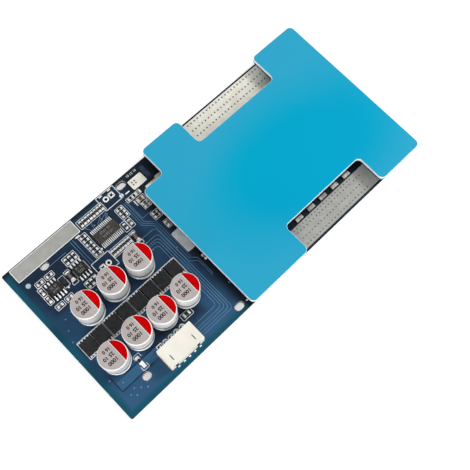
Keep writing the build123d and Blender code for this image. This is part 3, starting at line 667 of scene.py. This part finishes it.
def flat_lines(lines, width, height, material, lift=0.0, below=False):
    """Flat lines on the board, drawn as curves with a low square section. Each is (path, closed)."""
    section = bpy.data.curves.new("line_section", "CURVE")
    section.dimensions = "2D"
    half, top = width / 2 * MM, height * MM
    add_line(section, [(-half, 0.0, 0.0), (half, 0.0, 0.0), (half, top, 0.0), (-half, top, 0.0)], True)
    section_holder = new_object("line_section", section)
    drawing = bpy.data.curves.new("flat_lines", "CURVE")
    drawing.dimensions = "3D"
    drawing.twist_mode = "Z_UP"
    drawing.bevel_mode = "OBJECT"
    drawing.bevel_object = section_holder
    drawing.use_fill_caps = True
    for path, closed in lines:
        add_line(drawing, [place_below(x, y, lift + height) if below else place(x, y, lift)
                           for x, y in path], closed)
    piece = meshed(new_object("flat_lines", drawing))
    bpy.data.objects.remove(section_holder)
    dress(piece, material)
    deselect()
    return piece


def plates(areas, height, material, lift=0.0, below=False, width=0.0):
    """Flat rectangular areas, each as (along from, along to, across from, across to)."""
    made = []
    for x0, x1, y0, y1 in areas:
        centre = (place_below if below else place)((x0 + x1) / 2, (y0 + y1) / 2, lift + height / 2)
        made.append(block((x1 - x0, y1 - y0, height), centre, material, width))
    return joined(made)


def figures(texts, material, height, lift, weight=0.0):
    """Plain figures, each as (text, along, across, letter height, turn in degrees)."""
    made = []
    for text, along, across, size, turn in texts:
        deselect()
        bpy.ops.object.text_add()
        piece = bpy.context.active_object
        piece.data.body = text
        piece.data.size = size * 1.4 * MM
        piece.data.extrude = height / 2 * MM
        piece.data.offset = weight * MM
        piece.data.resolution_u = 3
        piece.data.align_x = "CENTER"
        piece.data.align_y = "CENTER"
        piece = meshed(piece)
        piece.location = place(along, across, lift + height / 2)
        piece.rotation_euler = (0.0, 0.0, radians(turn))
        settle(piece)
        dress(piece, material)
        made.append(piece)
    return joined(made)


# ---- Circuit board

board = frame["nodes"]["circuit_board"]
# Its sides take a dark laminate, partly their own colour and partly painted shade
dress(board, board_mask, laminate, under_mask)
for face in board.data.polygons:
    face.material_index = 1 if abs(face.normal.z) < 0.5 else (0 if face.normal.z > 0 else 2)

# Copper pours, a lighter patch of mask, and a dark strip on the pad by the plate's step, which is painted
# shade
fit(joined([plates([(4.2, 30.9, 9.1, 12.2), (4.4, 40.0, 21.4, 23.4)], POUR_HEIGHT, pour_mask),
            plates([(61.0, 62.8, 59.7, 64.8)], POUR_HEIGHT, dim_mask),
            plates([(57.9, 62.9, 57.7, 58.55)], POUR_HEIGHT / 2, gap_and_shade_mask, 0.125)]),
    "copper_pours", "solder_mask")

# Bare, dark board under the leads and the chips; round the large pads, along the shunts and by the plate's
# step the dark areas are painted shade under the heat plate. And gaps in the copper
fit(plates([(80.0, 124.5, 9.45, 20.0), (123.95, 137.0, 0.1, 9.4), (79.0, 81.45, 0.1, 9.4),
            (123.95, 137.0, 53.0, 66.4), (62.9, 70.0, 58.5, 66.4), (3.5, 13.9, 24.1, 31.1),
            (14.5, 25.0, 24.1, 31.1), (25.6, 35.9, 24.1, 31.1), (36.4, 47.1, 24.1, 31.1),
            (31.8, 41.5, 49.8, 51.7), (31.8, 41.5, 56.3, 58.2), (8.0, 13.2, 46.7, 54.4),
            (18.7, 23.9, 46.2, 53.7)], MARGIN_HEIGHT, gap_and_shade_mask), "dark_margins_and_shade", "solder_mask")
gap_lines = [([(8.0, 12.6), (21.0, 12.6)], False), ([(4.0, 8.7), (18.0, 8.7)], False),
             ([(3.9, 8.8), (3.9, 16.0)], False)]
gap_lines += [(path_round(pad, 0.5, 0.3), True) for pad in ("cell_pad", "tap_pad")]
fit(flat_lines(gap_lines, 0.25, GAP_HEIGHT, gap_and_shade_mask), "copper_gaps", "solder_mask")

# Traces: five from the header round to the small chips, and the bundle beside the monitor chip
header_traces = [
    rounded([(36.0, y), (x, y), (x, top), (44.0, top)], 1.6)
    for y, x, top in ((4.0, 50.1, 43.75), (4.95, 49.25, 41.5), (6.05, 48.4, 40.3), (7.05, 47.5, 39.5),
                      (8.6, 46.5, 38.2))]
bundle_traces = [
    [(x, 58.0), (x, 47.6 + i * 0.25), (x + 3.2, 44.4 + i * 0.25), (x + 3.2, 26.5 + i * 0.4)]
    for i, x in enumerate((47.2, 48.0, 48.8))]
edge_traces = [
    rounded([(49.25, 57.5), (49.25, 49.3), (53.3, 49.3)], 0.5),
    [(50.3, 26.5), (52.9, 24.4), (52.9, 17.0)],
    [(51.5, 27.3), (53.5, 25.3), (53.5, 17.5)],
    [(25.0, 49.0), (25.0, 60.0)],
    [(26.0, 49.0), (26.0, 60.0)],
    [(14.0, 58.2), (21.5, 58.2)],
]
LEAD_PITCH = 0.65
fan_traces = [[(33.1 + i * LEAD_PITCH, 58.1), (33.1 + i * LEAD_PITCH, 58.5), (32.1 + i * 1.34, 60.0),
               (32.1 + i * 1.34, 60.5)] for i in (0, 2, 5, 7)]
fan_traces += [[(39.6 + i * LEAD_PITCH, 58.1), (40.9 + i * LEAD_PITCH, 59.4), (43.2 + i * 0.5, 59.4)]
               for i in range(2)]
fit(flat_lines([(path, False) for path in header_traces + bundle_traces + edge_traces + fan_traces],
               TRACE_WIDTH, TRACE_HEIGHT, trace_mask), "copper_traces", "solder_mask")

# White print: frames round the parts, and marks
frames_drawn = [
    (6.3, 9.75, 54.7, 56.7), (10.4, 13.8, 54.7, 56.7), (5.6, 7.6, 50.9, 54.5), (5.55, 7.5, 47.3, 50.7),
    (18.6, 23.8, 53.7, 57.2), (18.6, 23.6, 42.3, 45.4), (6.3, 9.75, 44.0, 46.0), (10.4, 13.75, 44.0, 46.0),
    (27.8, 31.05, 49.2, 59.4), (30.9, 42.4, 60.6, 64.1), (32.6, 41.1, 44.9, 48.3), (43.8, 47.1, 53.4, 58.3),
    (41.6, 43.9, 49.2, 53.1), (44.1, 46.0, 49.2, 53.3), (49.4, 53.3, 57.0, 58.6), (53.5, 55.7, 57.0, 58.6),
    (52.1, 55.6, 53.95, 56.3), (52.3, 55.4, 51.1, 53.8), (52.2, 55.6, 45.5, 48.8), (53.6, 55.3, 40.3, 43.5),
    (34.5, 39.1, 11.9, 14.3), (13.1, 15.4, 48.4, 52.75)]
pair_frames = [(3.4, 14.0, 24.0, 31.2), (14.4, 25.1, 24.0, 31.2), (25.5, 36.0, 24.0, 31.2),
               (36.3, 47.2, 24.0, 31.2)]
pin_frames = [(41.8, 49.6, 60.05, 66.1), (24.8, 32.4, 42.6, 48.7)]
print_lines = [(box_path(*frame_drawn), True) for frame_drawn in frames_drawn]
print_lines += [([(x, 24.0), (x, 31.2)], False) for x in (8.7, 19.75, 30.75, 41.75)]
print_lines += [(rounded(path, 0.3), False) for path in (
    [(16.0, 52.0), (16.0, 53.2), (18.2, 53.2), (18.2, 52.0)],
    [(16.0, 48.4), (16.0, 47.2), (18.2, 47.2), (18.2, 48.4)],
    [(41.6, 47.2), (41.6, 48.3), (43.9, 48.3), (43.9, 47.2)],
    [(41.6, 43.5), (41.6, 42.4), (43.9, 42.4), (43.9, 43.5)],
    [(13.7, 13.4), (13.7, 14.9), (16.2, 14.9), (16.2, 13.4)],
    [(13.5, 10.6), (13.5, 8.95), (16.0, 8.95), (16.0, 10.6)])]
print_lines += [([(18.8, 48.2), (18.8, 51.5)], False), ([(23.9, 47.9), (23.9, 52.0)], False)]
fine_print = flat_lines(print_lines, PRINT_WIDTH, PRINT_HEIGHT, white_ink, PRINT_LIFT)
broad_print = flat_lines([(box_path(*frame_drawn, 0.15), True) for frame_drawn in pair_frames + pin_frames],
                         1.5 * PRINT_WIDTH, PRINT_HEIGHT, white_ink, PRINT_LIFT)

bold_lines = [([(50.9, 60.25), (52.75, 60.25)], False), ([(27.2, 59.8), (29.0, 59.8)], False),
               ([(43.0, 65.6), (44.3, 65.6)], False), ([(46.9, 65.6), (48.2, 65.6)], False),
               ([(51.3, 54.0), (51.3, 56.3)], False), ([(54.9, 2.4), (55.7, 2.4)], False)]
bold_lines += [([(x, 1.95), (x + 0.8, 1.95)], False) for x in (22.6, 25.1, 27.5, 29.9, 32.4)]
bold_print = flat_lines(bold_lines, 0.5, PRINT_HEIGHT, white_ink, PRINT_LIFT)
DOT_MIDDLE = PRINT_LIFT + PRINT_HEIGHT / 2
dots = [drum(radius, PRINT_HEIGHT, place(x, y, DOT_MIDDLE), white_ink, sides)
        for x, y, radius, sides in ((14.2, 48.0, 0.35, 16), (31.4, 50.6, 0.35, 16), (49.5, 60.8, 0.8, 24))]
fit(joined([fine_print, broad_print, bold_print] + dots), "white_print", "solder_mask")
fit(figures([("10 12 16", 57.6, 64.95, 0.95, 0.0), ("1", 22.9, 40.6, 0.8, 0.0)], white_ink,
            PRINT_HEIGHT, PRINT_LIFT), "white_figures", "solder_mask")

# Rims round the large tinned pads
pad_rims = [(path_round(pad, 0.15, 0.2), True) for pad in ("cell_pad", "tap_pad")]
fit(flat_lines(pad_rims, 0.3, 0.05, white_ink), "pad_rims", "solder_mask")

# Plated rings of the slots, and the empty pin holes with one square pad each
RING_HEIGHT = 0.03
slot_rings = [(ring_path(13.1, BOARD_WIDTH / 2 + side * 26.2, 1.3, 0.3, 32), True) for side in (-1, 1)]
slot_rings += [(ring_path(51.9, BOARD_WIDTH / 2 + side * 30.65, 1.3, 0.6, 32), True) for side in (-1, 1)]
rings = [flat_lines(slot_rings, 0.18, 0.04, dull_solder),
         flat_lines(slot_rings, 0.18, 0.04, bright_solder, below=True)]
ROUND_HOLES = ((44.55, 63.56), (29.77, 45.2))
SQUARE_HOLES = ((47.05, 63.56), (27.27, 45.2))
hole_rings = [(ring_path(x, y, 0.84), True) for x, y in ROUND_HOLES]
hole_rings += [(box_path(x - 0.82, x + 0.82, y - 0.82, y + 0.82, 0.05), True) for x, y in SQUARE_HOLES]
rings.append(flat_lines(hole_rings, 0.6, RING_HEIGHT, bright_leads))
rings.append(drum(0.9, RING_HEIGHT, place(4.6, 57.7, RING_HEIGHT / 2), sight_mark, 28))
# Dark discs down in the empty pin holes, painted as their shade
rings += [drum(0.47, 0.1, place(x, y, -0.8), hole_shade, 24) for x, y in ROUND_HOLES + SQUARE_HOLES]
fit(joined(rings), "plated_rings", "tinned_copper")

# Vias: a low ring round a dark hole, made once and copied
via = drum(0.36, RING_HEIGHT, (0.0, 0.0, RING_HEIGHT / 2 * MM), grey_tin, 12)
dress(via, grey_tin, hole_shade)
faces_in_edit(via, lambda centre, normal: normal.z > 0.5)
bpy.ops.mesh.inset(thickness=0.14 * MM)
bpy.ops.transform.translate(value=(0.0, 0.0, -0.012 * MM))
bpy.context.object.active_material_index = 1
bpy.ops.object.material_slot_assign()
back_to_object()
via_below = twin(via)
masked_via = twin(via, Matrix.Diagonal((0.8, 0.8, 1.0, 1.0)))
dress(masked_via, trace_mask, hole_shade)


def row(first, across, pitch, count):
    return [(first + i * pitch, across) for i in range(count)]


pad_vias = []
for across in (64.69, 61.95, 59.41):
    pad_vias += row(85.6, across, 1.6, 24)
pad_vias += row(84.97, 8.55, 1.544, 20)
pad_vias += row(85.6, 7.17, 1.6, 18) + [(115.1, 7.17), (116.6, 7.17), (118.1, 7.17)]
pad_vias += row(85.67, 4.53, 1.57, 21) + row(85.47, 1.95, 1.58, 21)
pad_vias += [(55.5, 61.0), (56.6, 61.0), (55.5, 62.0), (56.6, 62.0)]
board_vias = [(6.2, 40.2), (16.9, 43.0), (31.7, 42.8), (35.2, 58.9), (38.6, 58.9), (47.1, 60.0),
               (50.6, 33.0), (55.8, 39.6), (44.0, 38.2), (44.0, 41.5), (43.9, 43.75), (55.9, 14.6),
               (55.2, 11.2), (20.4, 40.8), (25.4, 22.0), (33.8, 22.9), (5.2, 6.1), (6.6, 4.6), (7.4, 7.0),
               (9.2, 5.6), (11.0, 4.2), (6.0, 10.9), (3.1, 14.4), (2.9, 32.6), (4.4, 36.5), (9.1, 40.9)]
pad_top = top_of("battery_pad")
top_places = [Matrix.Translation(place(*spot, pad_top)) for spot in pad_vias]
fit(copies(via, top_places), "vias_above", "tinned_copper")
fit(copies(masked_via, [Matrix.Translation(place(*spot)) for spot in board_vias]), "masked_vias",
    "solder_mask")
turned_over = Matrix.Rotation(pi, 4, "X")
below_places = [Matrix.Translation(place_below(*spot)) @ turned_over for spot in pad_vias + board_vias]
fit(copies(via_below, below_places), "vias_below", "tinned_copper")

# ---- Tinned pads

for pad, tin in (("cell_pad", grey_tin), ("battery_pad", grey_tin), ("tap_pad", ivory_tin),
                 ("return_pad", ivory_tin), ("pack_pad", ivory_tin), ("link_pad", lightened_link_tin)):
    softened(pad, "tinned_copper", tin, 0.08)

# ---- Heat plate: anodised faces and bare cut edges

plate = merged_copy("heat_plate")
dress(plate, plate_blue, plate_edge)
for face in plate.data.polygons:
    face.material_index = 0 if abs(face.normal.z) > 0.9 else 1
bevelled(plate, 0.06, 2, 30.0)
fit(plate, "heat_plate_finished", "blue_anodised", "heat_plate")

# ---- Capacitors: a can turned from its section, with its printed top, made once and copied

can_low, can_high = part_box("can_1")
CAN_RADIUS = (can_high.x - can_low.x) / 2 / MM
CAN_FOOT = (can_low.z - board_high.z) / MM
CAN_TOP = top_of("can_1")
TOP_ROUND = 0.5
RIM_ROUND = 0.35
BEAD_MIDDLE = 2.1
BEAD_RADIUS = 0.7
BEAD_DEPTH = 0.45
# Between these heights the side is painted near black, as the bead's shadow
SHADE_LINE = 3.6
SHADE_TOP = 4.8
CHORD_LINE = 0.16
CHORD_SHADE = 0.36
CHORD = 0.37 * CAN_RADIUS


def arc(middle, radius, start, end, steps):
    """Points on an arc, as (radius, height), with its angles in degrees."""
    return [(middle[0] + radius * cos(radians(start + (end - start) * i / steps)),
             middle[1] + radius * sin(radians(start + (end - start) * i / steps))) for i in range(steps + 1)]


bead_reach = CAN_RADIUS + BEAD_RADIUS - BEAD_DEPTH
bead_angle = 180 - degrees(acos((bead_reach - CAN_RADIUS) / BEAD_RADIUS))
can_section = [(0.0, CAN_TOP)]
can_section += arc((CAN_RADIUS - TOP_ROUND, CAN_TOP - TOP_ROUND), TOP_ROUND, 90, 0, 6)
can_section += [(CAN_RADIUS, SHADE_TOP), (CAN_RADIUS, SHADE_LINE)]
can_section += arc((bead_reach, BEAD_MIDDLE), BEAD_RADIUS, bead_angle, 360 - bead_angle, 8)
can_section += arc((CAN_RADIUS - RIM_ROUND, CAN_FOOT + RIM_ROUND), RIM_ROUND, 0, -90, 4)
can_section += [(4.1, CAN_FOOT), (4.1, 1.0), (0.0, 1.0)]
section_line = bpy.data.curves.new("can_section", "CURVE")
section_line.dimensions = "3D"
add_line(section_line, [(out * MM, 0.0, up * MM) for out, up in can_section])
can_model = meshed(new_object("can_model", section_line))
set_mode("EDIT")
bpy.ops.mesh.select_all(action="SELECT")
bpy.ops.mesh.spin(steps=96, angle=2 * pi, center=(0.0, 0.0, 0.0), axis=(0.0, 0.0, 1.0))
bpy.ops.mesh.select_all(action="SELECT")
bpy.ops.mesh.remove_doubles(threshold=0.000001)
bpy.ops.mesh.normals_make_consistent(inside=False)
back_to_object()
dress(can_model, can_metal, can_grey_print, can_red_print, white_ink, can_red_shade, can_rim_highlight,
      can_painted_groove_shadow)
GREY_TOP, RED_TOP, WHITE_LINE, RED_SHADE, RIM, GROOVE_SHADOW_LINE = range(1, 7)
for cut in (CHORD, CHORD + CHORD_LINE, CHORD + CHORD_SHADE):
    faces_in_edit(can_model, lambda centre, normal: centre.z > (CAN_TOP - TOP_ROUND) * MM)
    bpy.ops.mesh.bisect(plane_co=(cut * MM, 0.0, 0.0), plane_no=(1.0, 0.0, 0.0))
    back_to_object()
for face in can_model.data.polygons:
    up = face.center.z / MM
    over = face.center.x / MM - CHORD
    if up > CAN_TOP - TOP_ROUND and face.normal.z > 0.9:
        if over < 0:
            face.material_index = GREY_TOP
        elif over < CHORD_SHADE:
            face.material_index = WHITE_LINE if over < CHORD_LINE else RED_SHADE
        else:
            face.material_index = RED_TOP
    # The rounded rim and the side below the shadow band take a lighter copy of the can metal, a painted
    # highlight
    elif up > CAN_TOP - TOP_ROUND or up < SHADE_LINE:
        face.material_index = RIM
    elif up < SHADE_TOP:
        face.material_index = GROOVE_SHADOW_LINE
smoothed(can_model)

can_spots = []
print_texts = []
for number in range(1, 8):
    middle = middle_of(f"can_{number}")
    can_spots.append(Matrix.Translation((middle.x, middle.y, board_high.z)))
    along, across = on_board(middle)
    print_texts += [("1000", along - 1.05, across - 1.6, 1.35, 180.0),
                    ("25 10", along - 1.25, across + 0.45, 1.3, 180.0),
                    ("16 0", along - 0.5, across + 2.5, 1.15, 180.0)]
    softened(f"bung_{number}", "bung_rubber", bung_rubber, 0.12)
for number, can_spot in enumerate(can_spots[1:], 2):
    fit(twin(can_model, can_spot), f"can_{number}_finished", "can_aluminium", f"can_{number}")
can_model.data.transform(can_spots[0])
fit(can_model, "can_1_finished", "can_aluminium", "can_1")
fit(figures(print_texts, dark_print, PRINT_HEIGHT, CAN_TOP, 0.06), "can_figures", "can_aluminium")
softened("capacitor_leads", "tinned_leads", bright_solder, 0.12, 2, 30.0)

# ---- Balancing transistors

for number in range(1, 9):
    softened(f"balance_switch_{number}", "black_epoxy", black_epoxy, 0.09)
softened("balance_switch_frames", "tinned_leads", bright_leads, 0.05, 1)

# ---- Chips

softened("driver_chip_a", "black_epoxy", black_epoxy, 0.07, 2, 15.0)
softened("driver_chip_b", "black_epoxy", black_epoxy, 0.07, 2, 15.0)
softened("monitor_chip", "black_epoxy", monitor_epoxy, 0.06, 2, 15.0)
chip_figures = [
    figures([(words, along, across, size, 180.0) for words, along, across in rows], grey_ink, PRINT_HEIGHT,
            top_of(chip))
    for chip, size, rows in (
        ("driver_chip_a", 0.95, (("10 25", 10.58, 51.2), ("1610", 10.58, 49.8), ("25 16", 21.3, 50.6),
                                 ("1025", 21.3, 49.2))),
        ("monitor_chip", 1.0, (("16 1025", 36.65, 54.8), ("10 2516", 36.65, 53.2))))]
fit(joined(chip_figures), "chip_figures", "black_epoxy")
softened("driver_leads", "tinned_leads", bright_leads, 0.04)
softened("monitor_leads", "tinned_leads", bright_leads, 0.03, 1)
softened("clamp_diode", "black_epoxy", black_epoxy, 0.05)

# Small chip parts: a body with wrapped ends on two pads, made once for each kind and copied


def chip_model(length, width, height, body_material, glaze_material=None):
    """One chip part along X, standing on the origin's plane."""
    end = length * 0.19
    made = [block((length - end, width - 0.04, height - 0.04), (0.0, 0.0, height / 2 * MM),
                  body_material, 0.04, 1)]
    if glaze_material:
        made.append(block((length - 2 * end + 0.06, width - 0.1, 0.03), (0.0, 0.0, (height - 0.005) * MM),
                          glaze_material, 0.01, 1))
    for side in (-1, 1):
        made.append(block((end, width, height), (side * (length - end) / 2 * MM, 0.0, height / 2 * MM),
                          tinned_leads, 0.05, 2))
        pad = block((0.8, width + 0.26, 0.06), (side * (length / 2 + 0.04) * MM, 0.0, 0.03 * MM),
                    bright_solder, 0.02, 1)
        fillet = block((0.26, width - 0.06, height * 0.6),
                       (side * (length / 2 + 0.11) * MM, 0.0, height * 0.3 * MM), bright_solder)
        faces_in_edit(fillet, lambda centre, normal: normal.z > 0.5)
        bpy.ops.transform.resize(value=(0.2, 0.8, 1.0),
                                 center_override=(side * (length / 2 - 0.01) * MM, 0.0, height * 0.6 * MM))
        back_to_object()
        made += [pad, fillet]
    return joined(made)


def chip_places(boxes, wanted):
    """Places for the solids of one size, turned a quarter where they lie across the board."""
    places = []
    for low, high in boxes:
        size = high - low
        if abs(max(size.x, size.y) - wanted * MM) > 0.05 * MM:
            continue
        turn = 0.0 if size.x > size.y else pi / 2
        places.append(Matrix.Translation(((low.x + high.x) / 2, (low.y + high.y) / 2, low.z))
                      @ Matrix.Rotation(turn, 4, "Z"))
    return places


resistor_boxes = loose_boxes("chip_resistors")
capacitor_boxes = loose_boxes("chip_capacitors")
small_resistors = copies(chip_model(1.6, 0.8, 0.45, white_ceramic, resistor_glaze),
                         chip_places(resistor_boxes, 1.6))
near_plate = [pair for pair in resistor_boxes if pair[0].x > board_low.x + 50 * MM]
big_resistors = copies(chip_model(2.0, 1.25, 0.55, white_ceramic, resistor_glaze),
                       chip_places([pair for pair in resistor_boxes if pair not in near_plate], 2.0))
dark_resistors = copies(chip_model(2.0, 1.25, 0.55, white_ceramic, dark_ceramic),
                        chip_places(near_plate, 2.0))
fit(joined([small_resistors, big_resistors, dark_resistors]), "chip_resistors_finished", "resistor_glaze",
    "chip_resistors")
fit(copies(chip_model(1.6, 0.8, 0.75, capacitor_ceramic), chip_places(capacitor_boxes, 1.6)),
    "chip_capacitors_finished", "capacitor_ceramic", "chip_capacitors")

# Pads of the leads: driver chips, monitor chip, balancing transistors and the flat diode
lead_pads = []
for x in (8.68, 9.95, 11.22, 12.49):
    lead_pads += [(x - 0.32, x + 0.32, 53.1, 54.2), (x - 0.32, x + 0.32, 46.9, 48.0)]
for x in (19.4, 20.67, 21.94, 23.21):
    lead_pads += [(x - 0.32, x + 0.32, 52.5, 53.5), (x - 0.32, x + 0.32, 46.4, 47.4)]
for i in range(14):
    x = 36.65 + (i - 6.5) * LEAD_PITCH
    lead_pads += [(x - 0.17, x + 0.17, 56.6, 58.0), (x - 0.17, x + 0.17, 49.95, 51.35)]
for number in range(1, 9):
    middle = on_board(middle_of(f"balance_switch_{number}"))[0]
    for x in (middle - 1.8, middle - 0.6, middle + 0.6, middle + 1.8):
        lead_pads += [(x - 0.32, x + 0.32, 30.45, 31.03), (x - 0.3, x + 0.3, 24.2, 24.6)] if number % 2 else [
            (x - 0.3, x + 0.3, 30.8, 31.03), (x - 0.32, x + 0.32, 24.2, 24.9)]
lead_pads += [(14.1, 15.4, 13.0, 14.3), (14.1, 15.4, 9.6, 11.8)]
fit(plates(lead_pads, 0.05, bright_leads, width=0.02), "lead_pads", "tinned_copper")

# ---- Glass diodes: a glass tube over its slug, between two silver caps

for number in (1, 2):
    low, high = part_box(f"glass_diode_{number}")
    centre = (low + high) / 2
    length = (high.y - low.y) / MM
    lying = (pi / 2, 0.0, 0.0)
    tube = bevelled(drum(0.63, length - 0.5, centre, diode_glass, 32, lying), 0.12, 3)
    slug = bevelled(drum(0.34, length - 1.2, centre, diode_slug, 20, lying), 0.08, 2)
    caps = []
    for side in (-1, 1):
        cap = drum(0.75, 0.5, centre + Vector((0.0, side * (length / 2 - 0.25) * MM, 0.0)), tinned_leads,
                   32, lying)
        caps.append(bevelled(cap, 0.1, 2))
        caps.append(block((1.7, 0.9, 0.1), (centre.x, centre.y + side * (length / 2 - 0.05) * MM,
                                            board_high.z + 0.05 * MM), bright_solder, 0.04, 2))
    fit(joined([tube, slug] + caps), f"glass_diode_{number}_finished", "diode_glass",
        f"glass_diode_{number}")

# ---- Shunts, power transistors and their thermal pads

for number in range(1, 6):
    shunt = softened(f"shunt_{number}", "shunt_alloy", shunt_alloy, 0.08)
    shunt.data.materials.append(dull_solder)
    low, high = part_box(f"shunt_{number}")
    for face in shunt.data.polygons:
        if face.center.y < low.y + 1.35 * MM or face.center.y > high.y - 1.35 * MM:
            face.material_index = 1
for group in ("charge", "discharge"):
    softened(f"{group}_transistors", "black_epoxy", black_epoxy, 0.15)
    softened(f"{group}_transistor_frames", "tinned_leads", bright_solder, 0.08)
    softened(f"{group}_thermal_pad", "gap_filler", gap_filler, 0.2)
softened("plate_spacers", "spacer_brass", spacer_brass, 0.1, 1)
softened("plate_screws", "screw_steel", screw_steel, 0.18, 3)

# ---- Header

softened("header_housing", "ivory_nylon", ivory_nylon, 0.1)
softened("header_pins", "tinned_leads", tinned_leads, 0.06, 1)

# Its two slits are painted dark inside, as their shade
SLIT_WIDTH = 0.3
SLIT_LENGTH = 2.2
SLIT_FROM_END = 2.55
SLIT_FROM_FRONT = 1.6
(header_start, header_front), (header_end, _) = map(on_board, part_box("header_housing"))
slit_spots = (header_start + SLIT_FROM_END, header_end - SLIT_FROM_END)
slit_front = header_front + SLIT_FROM_FRONT
fit(plates([(x - SLIT_WIDTH / 2, x + SLIT_WIDTH / 2, slit_front, slit_front + SLIT_LENGTH)
            for x in slit_spots], 0.02, hole_shade, top_of("header_housing") - 0.3),
    "header_slit_shade", "ivory_nylon")

# Its pins' pads, the first one square, each with a dark disc in it painted as the shade of its hole
PAD_REACH = 1.0
pin_pads = [(box_path(PIN_FIRST - PAD_REACH, PIN_FIRST + PAD_REACH, 10.0, 12.0, 0.05), True)]
pin_pads += [(ring_path(PIN_FIRST + i * PIN_PITCH, 10.95, PAD_REACH), True) for i in range(1, PIN_COUNT)]
pin_hole_painted_shade = [drum(0.86, 0.02, place(PIN_FIRST + i * PIN_PITCH, 10.95, 0.012), hole_shade, 24)
                  for i in range(PIN_COUNT)]
fit(joined([flat_lines(pin_pads, 0.34, 0.08, bright_leads)] + pin_hole_painted_shade), "pin_pads", "tinned_copper")

# ---- Underside

fit(plates([(82.0, 123.4, 1.2, 9.0), (82.0, 123.4, 53.4, 65.4), (58.4, 78.6, 54.9, 58.0),
            (64.0, 136.0, 30.6, 36.0)], 0.03, grey_tin, below=True, width=0.01),
    "pads_below", "tinned_copper")
under_lines = [rounded([(PIN_FIRST + i * PIN_PITCH, 12.5), (PIN_FIRST + i * PIN_PITCH, 20.0 + i),
                        (38.0 + i * 1.3, 34.0 + i), (38.0 + i * 1.3, 48.0)], 1.5) for i in range(PIN_COUNT)]
fit(flat_lines([(path, False) for path in under_lines], 0.4, TRACE_HEIGHT, trace_mask, below=True),
    "traces_below", "solder_mask")
under_print = [(box_path(18.6, 36.8, 1.6, 13.2, 0.3), True), (box_path(80.8, 124.6, 0.5, 10.2, 0.3), True),
               (box_path(80.8, 124.6, 52.4, 66.0, 0.3), True)]
fit(flat_lines(under_print, 0.25, PRINT_HEIGHT, white_ink, below=True), "print_below", "solder_mask")
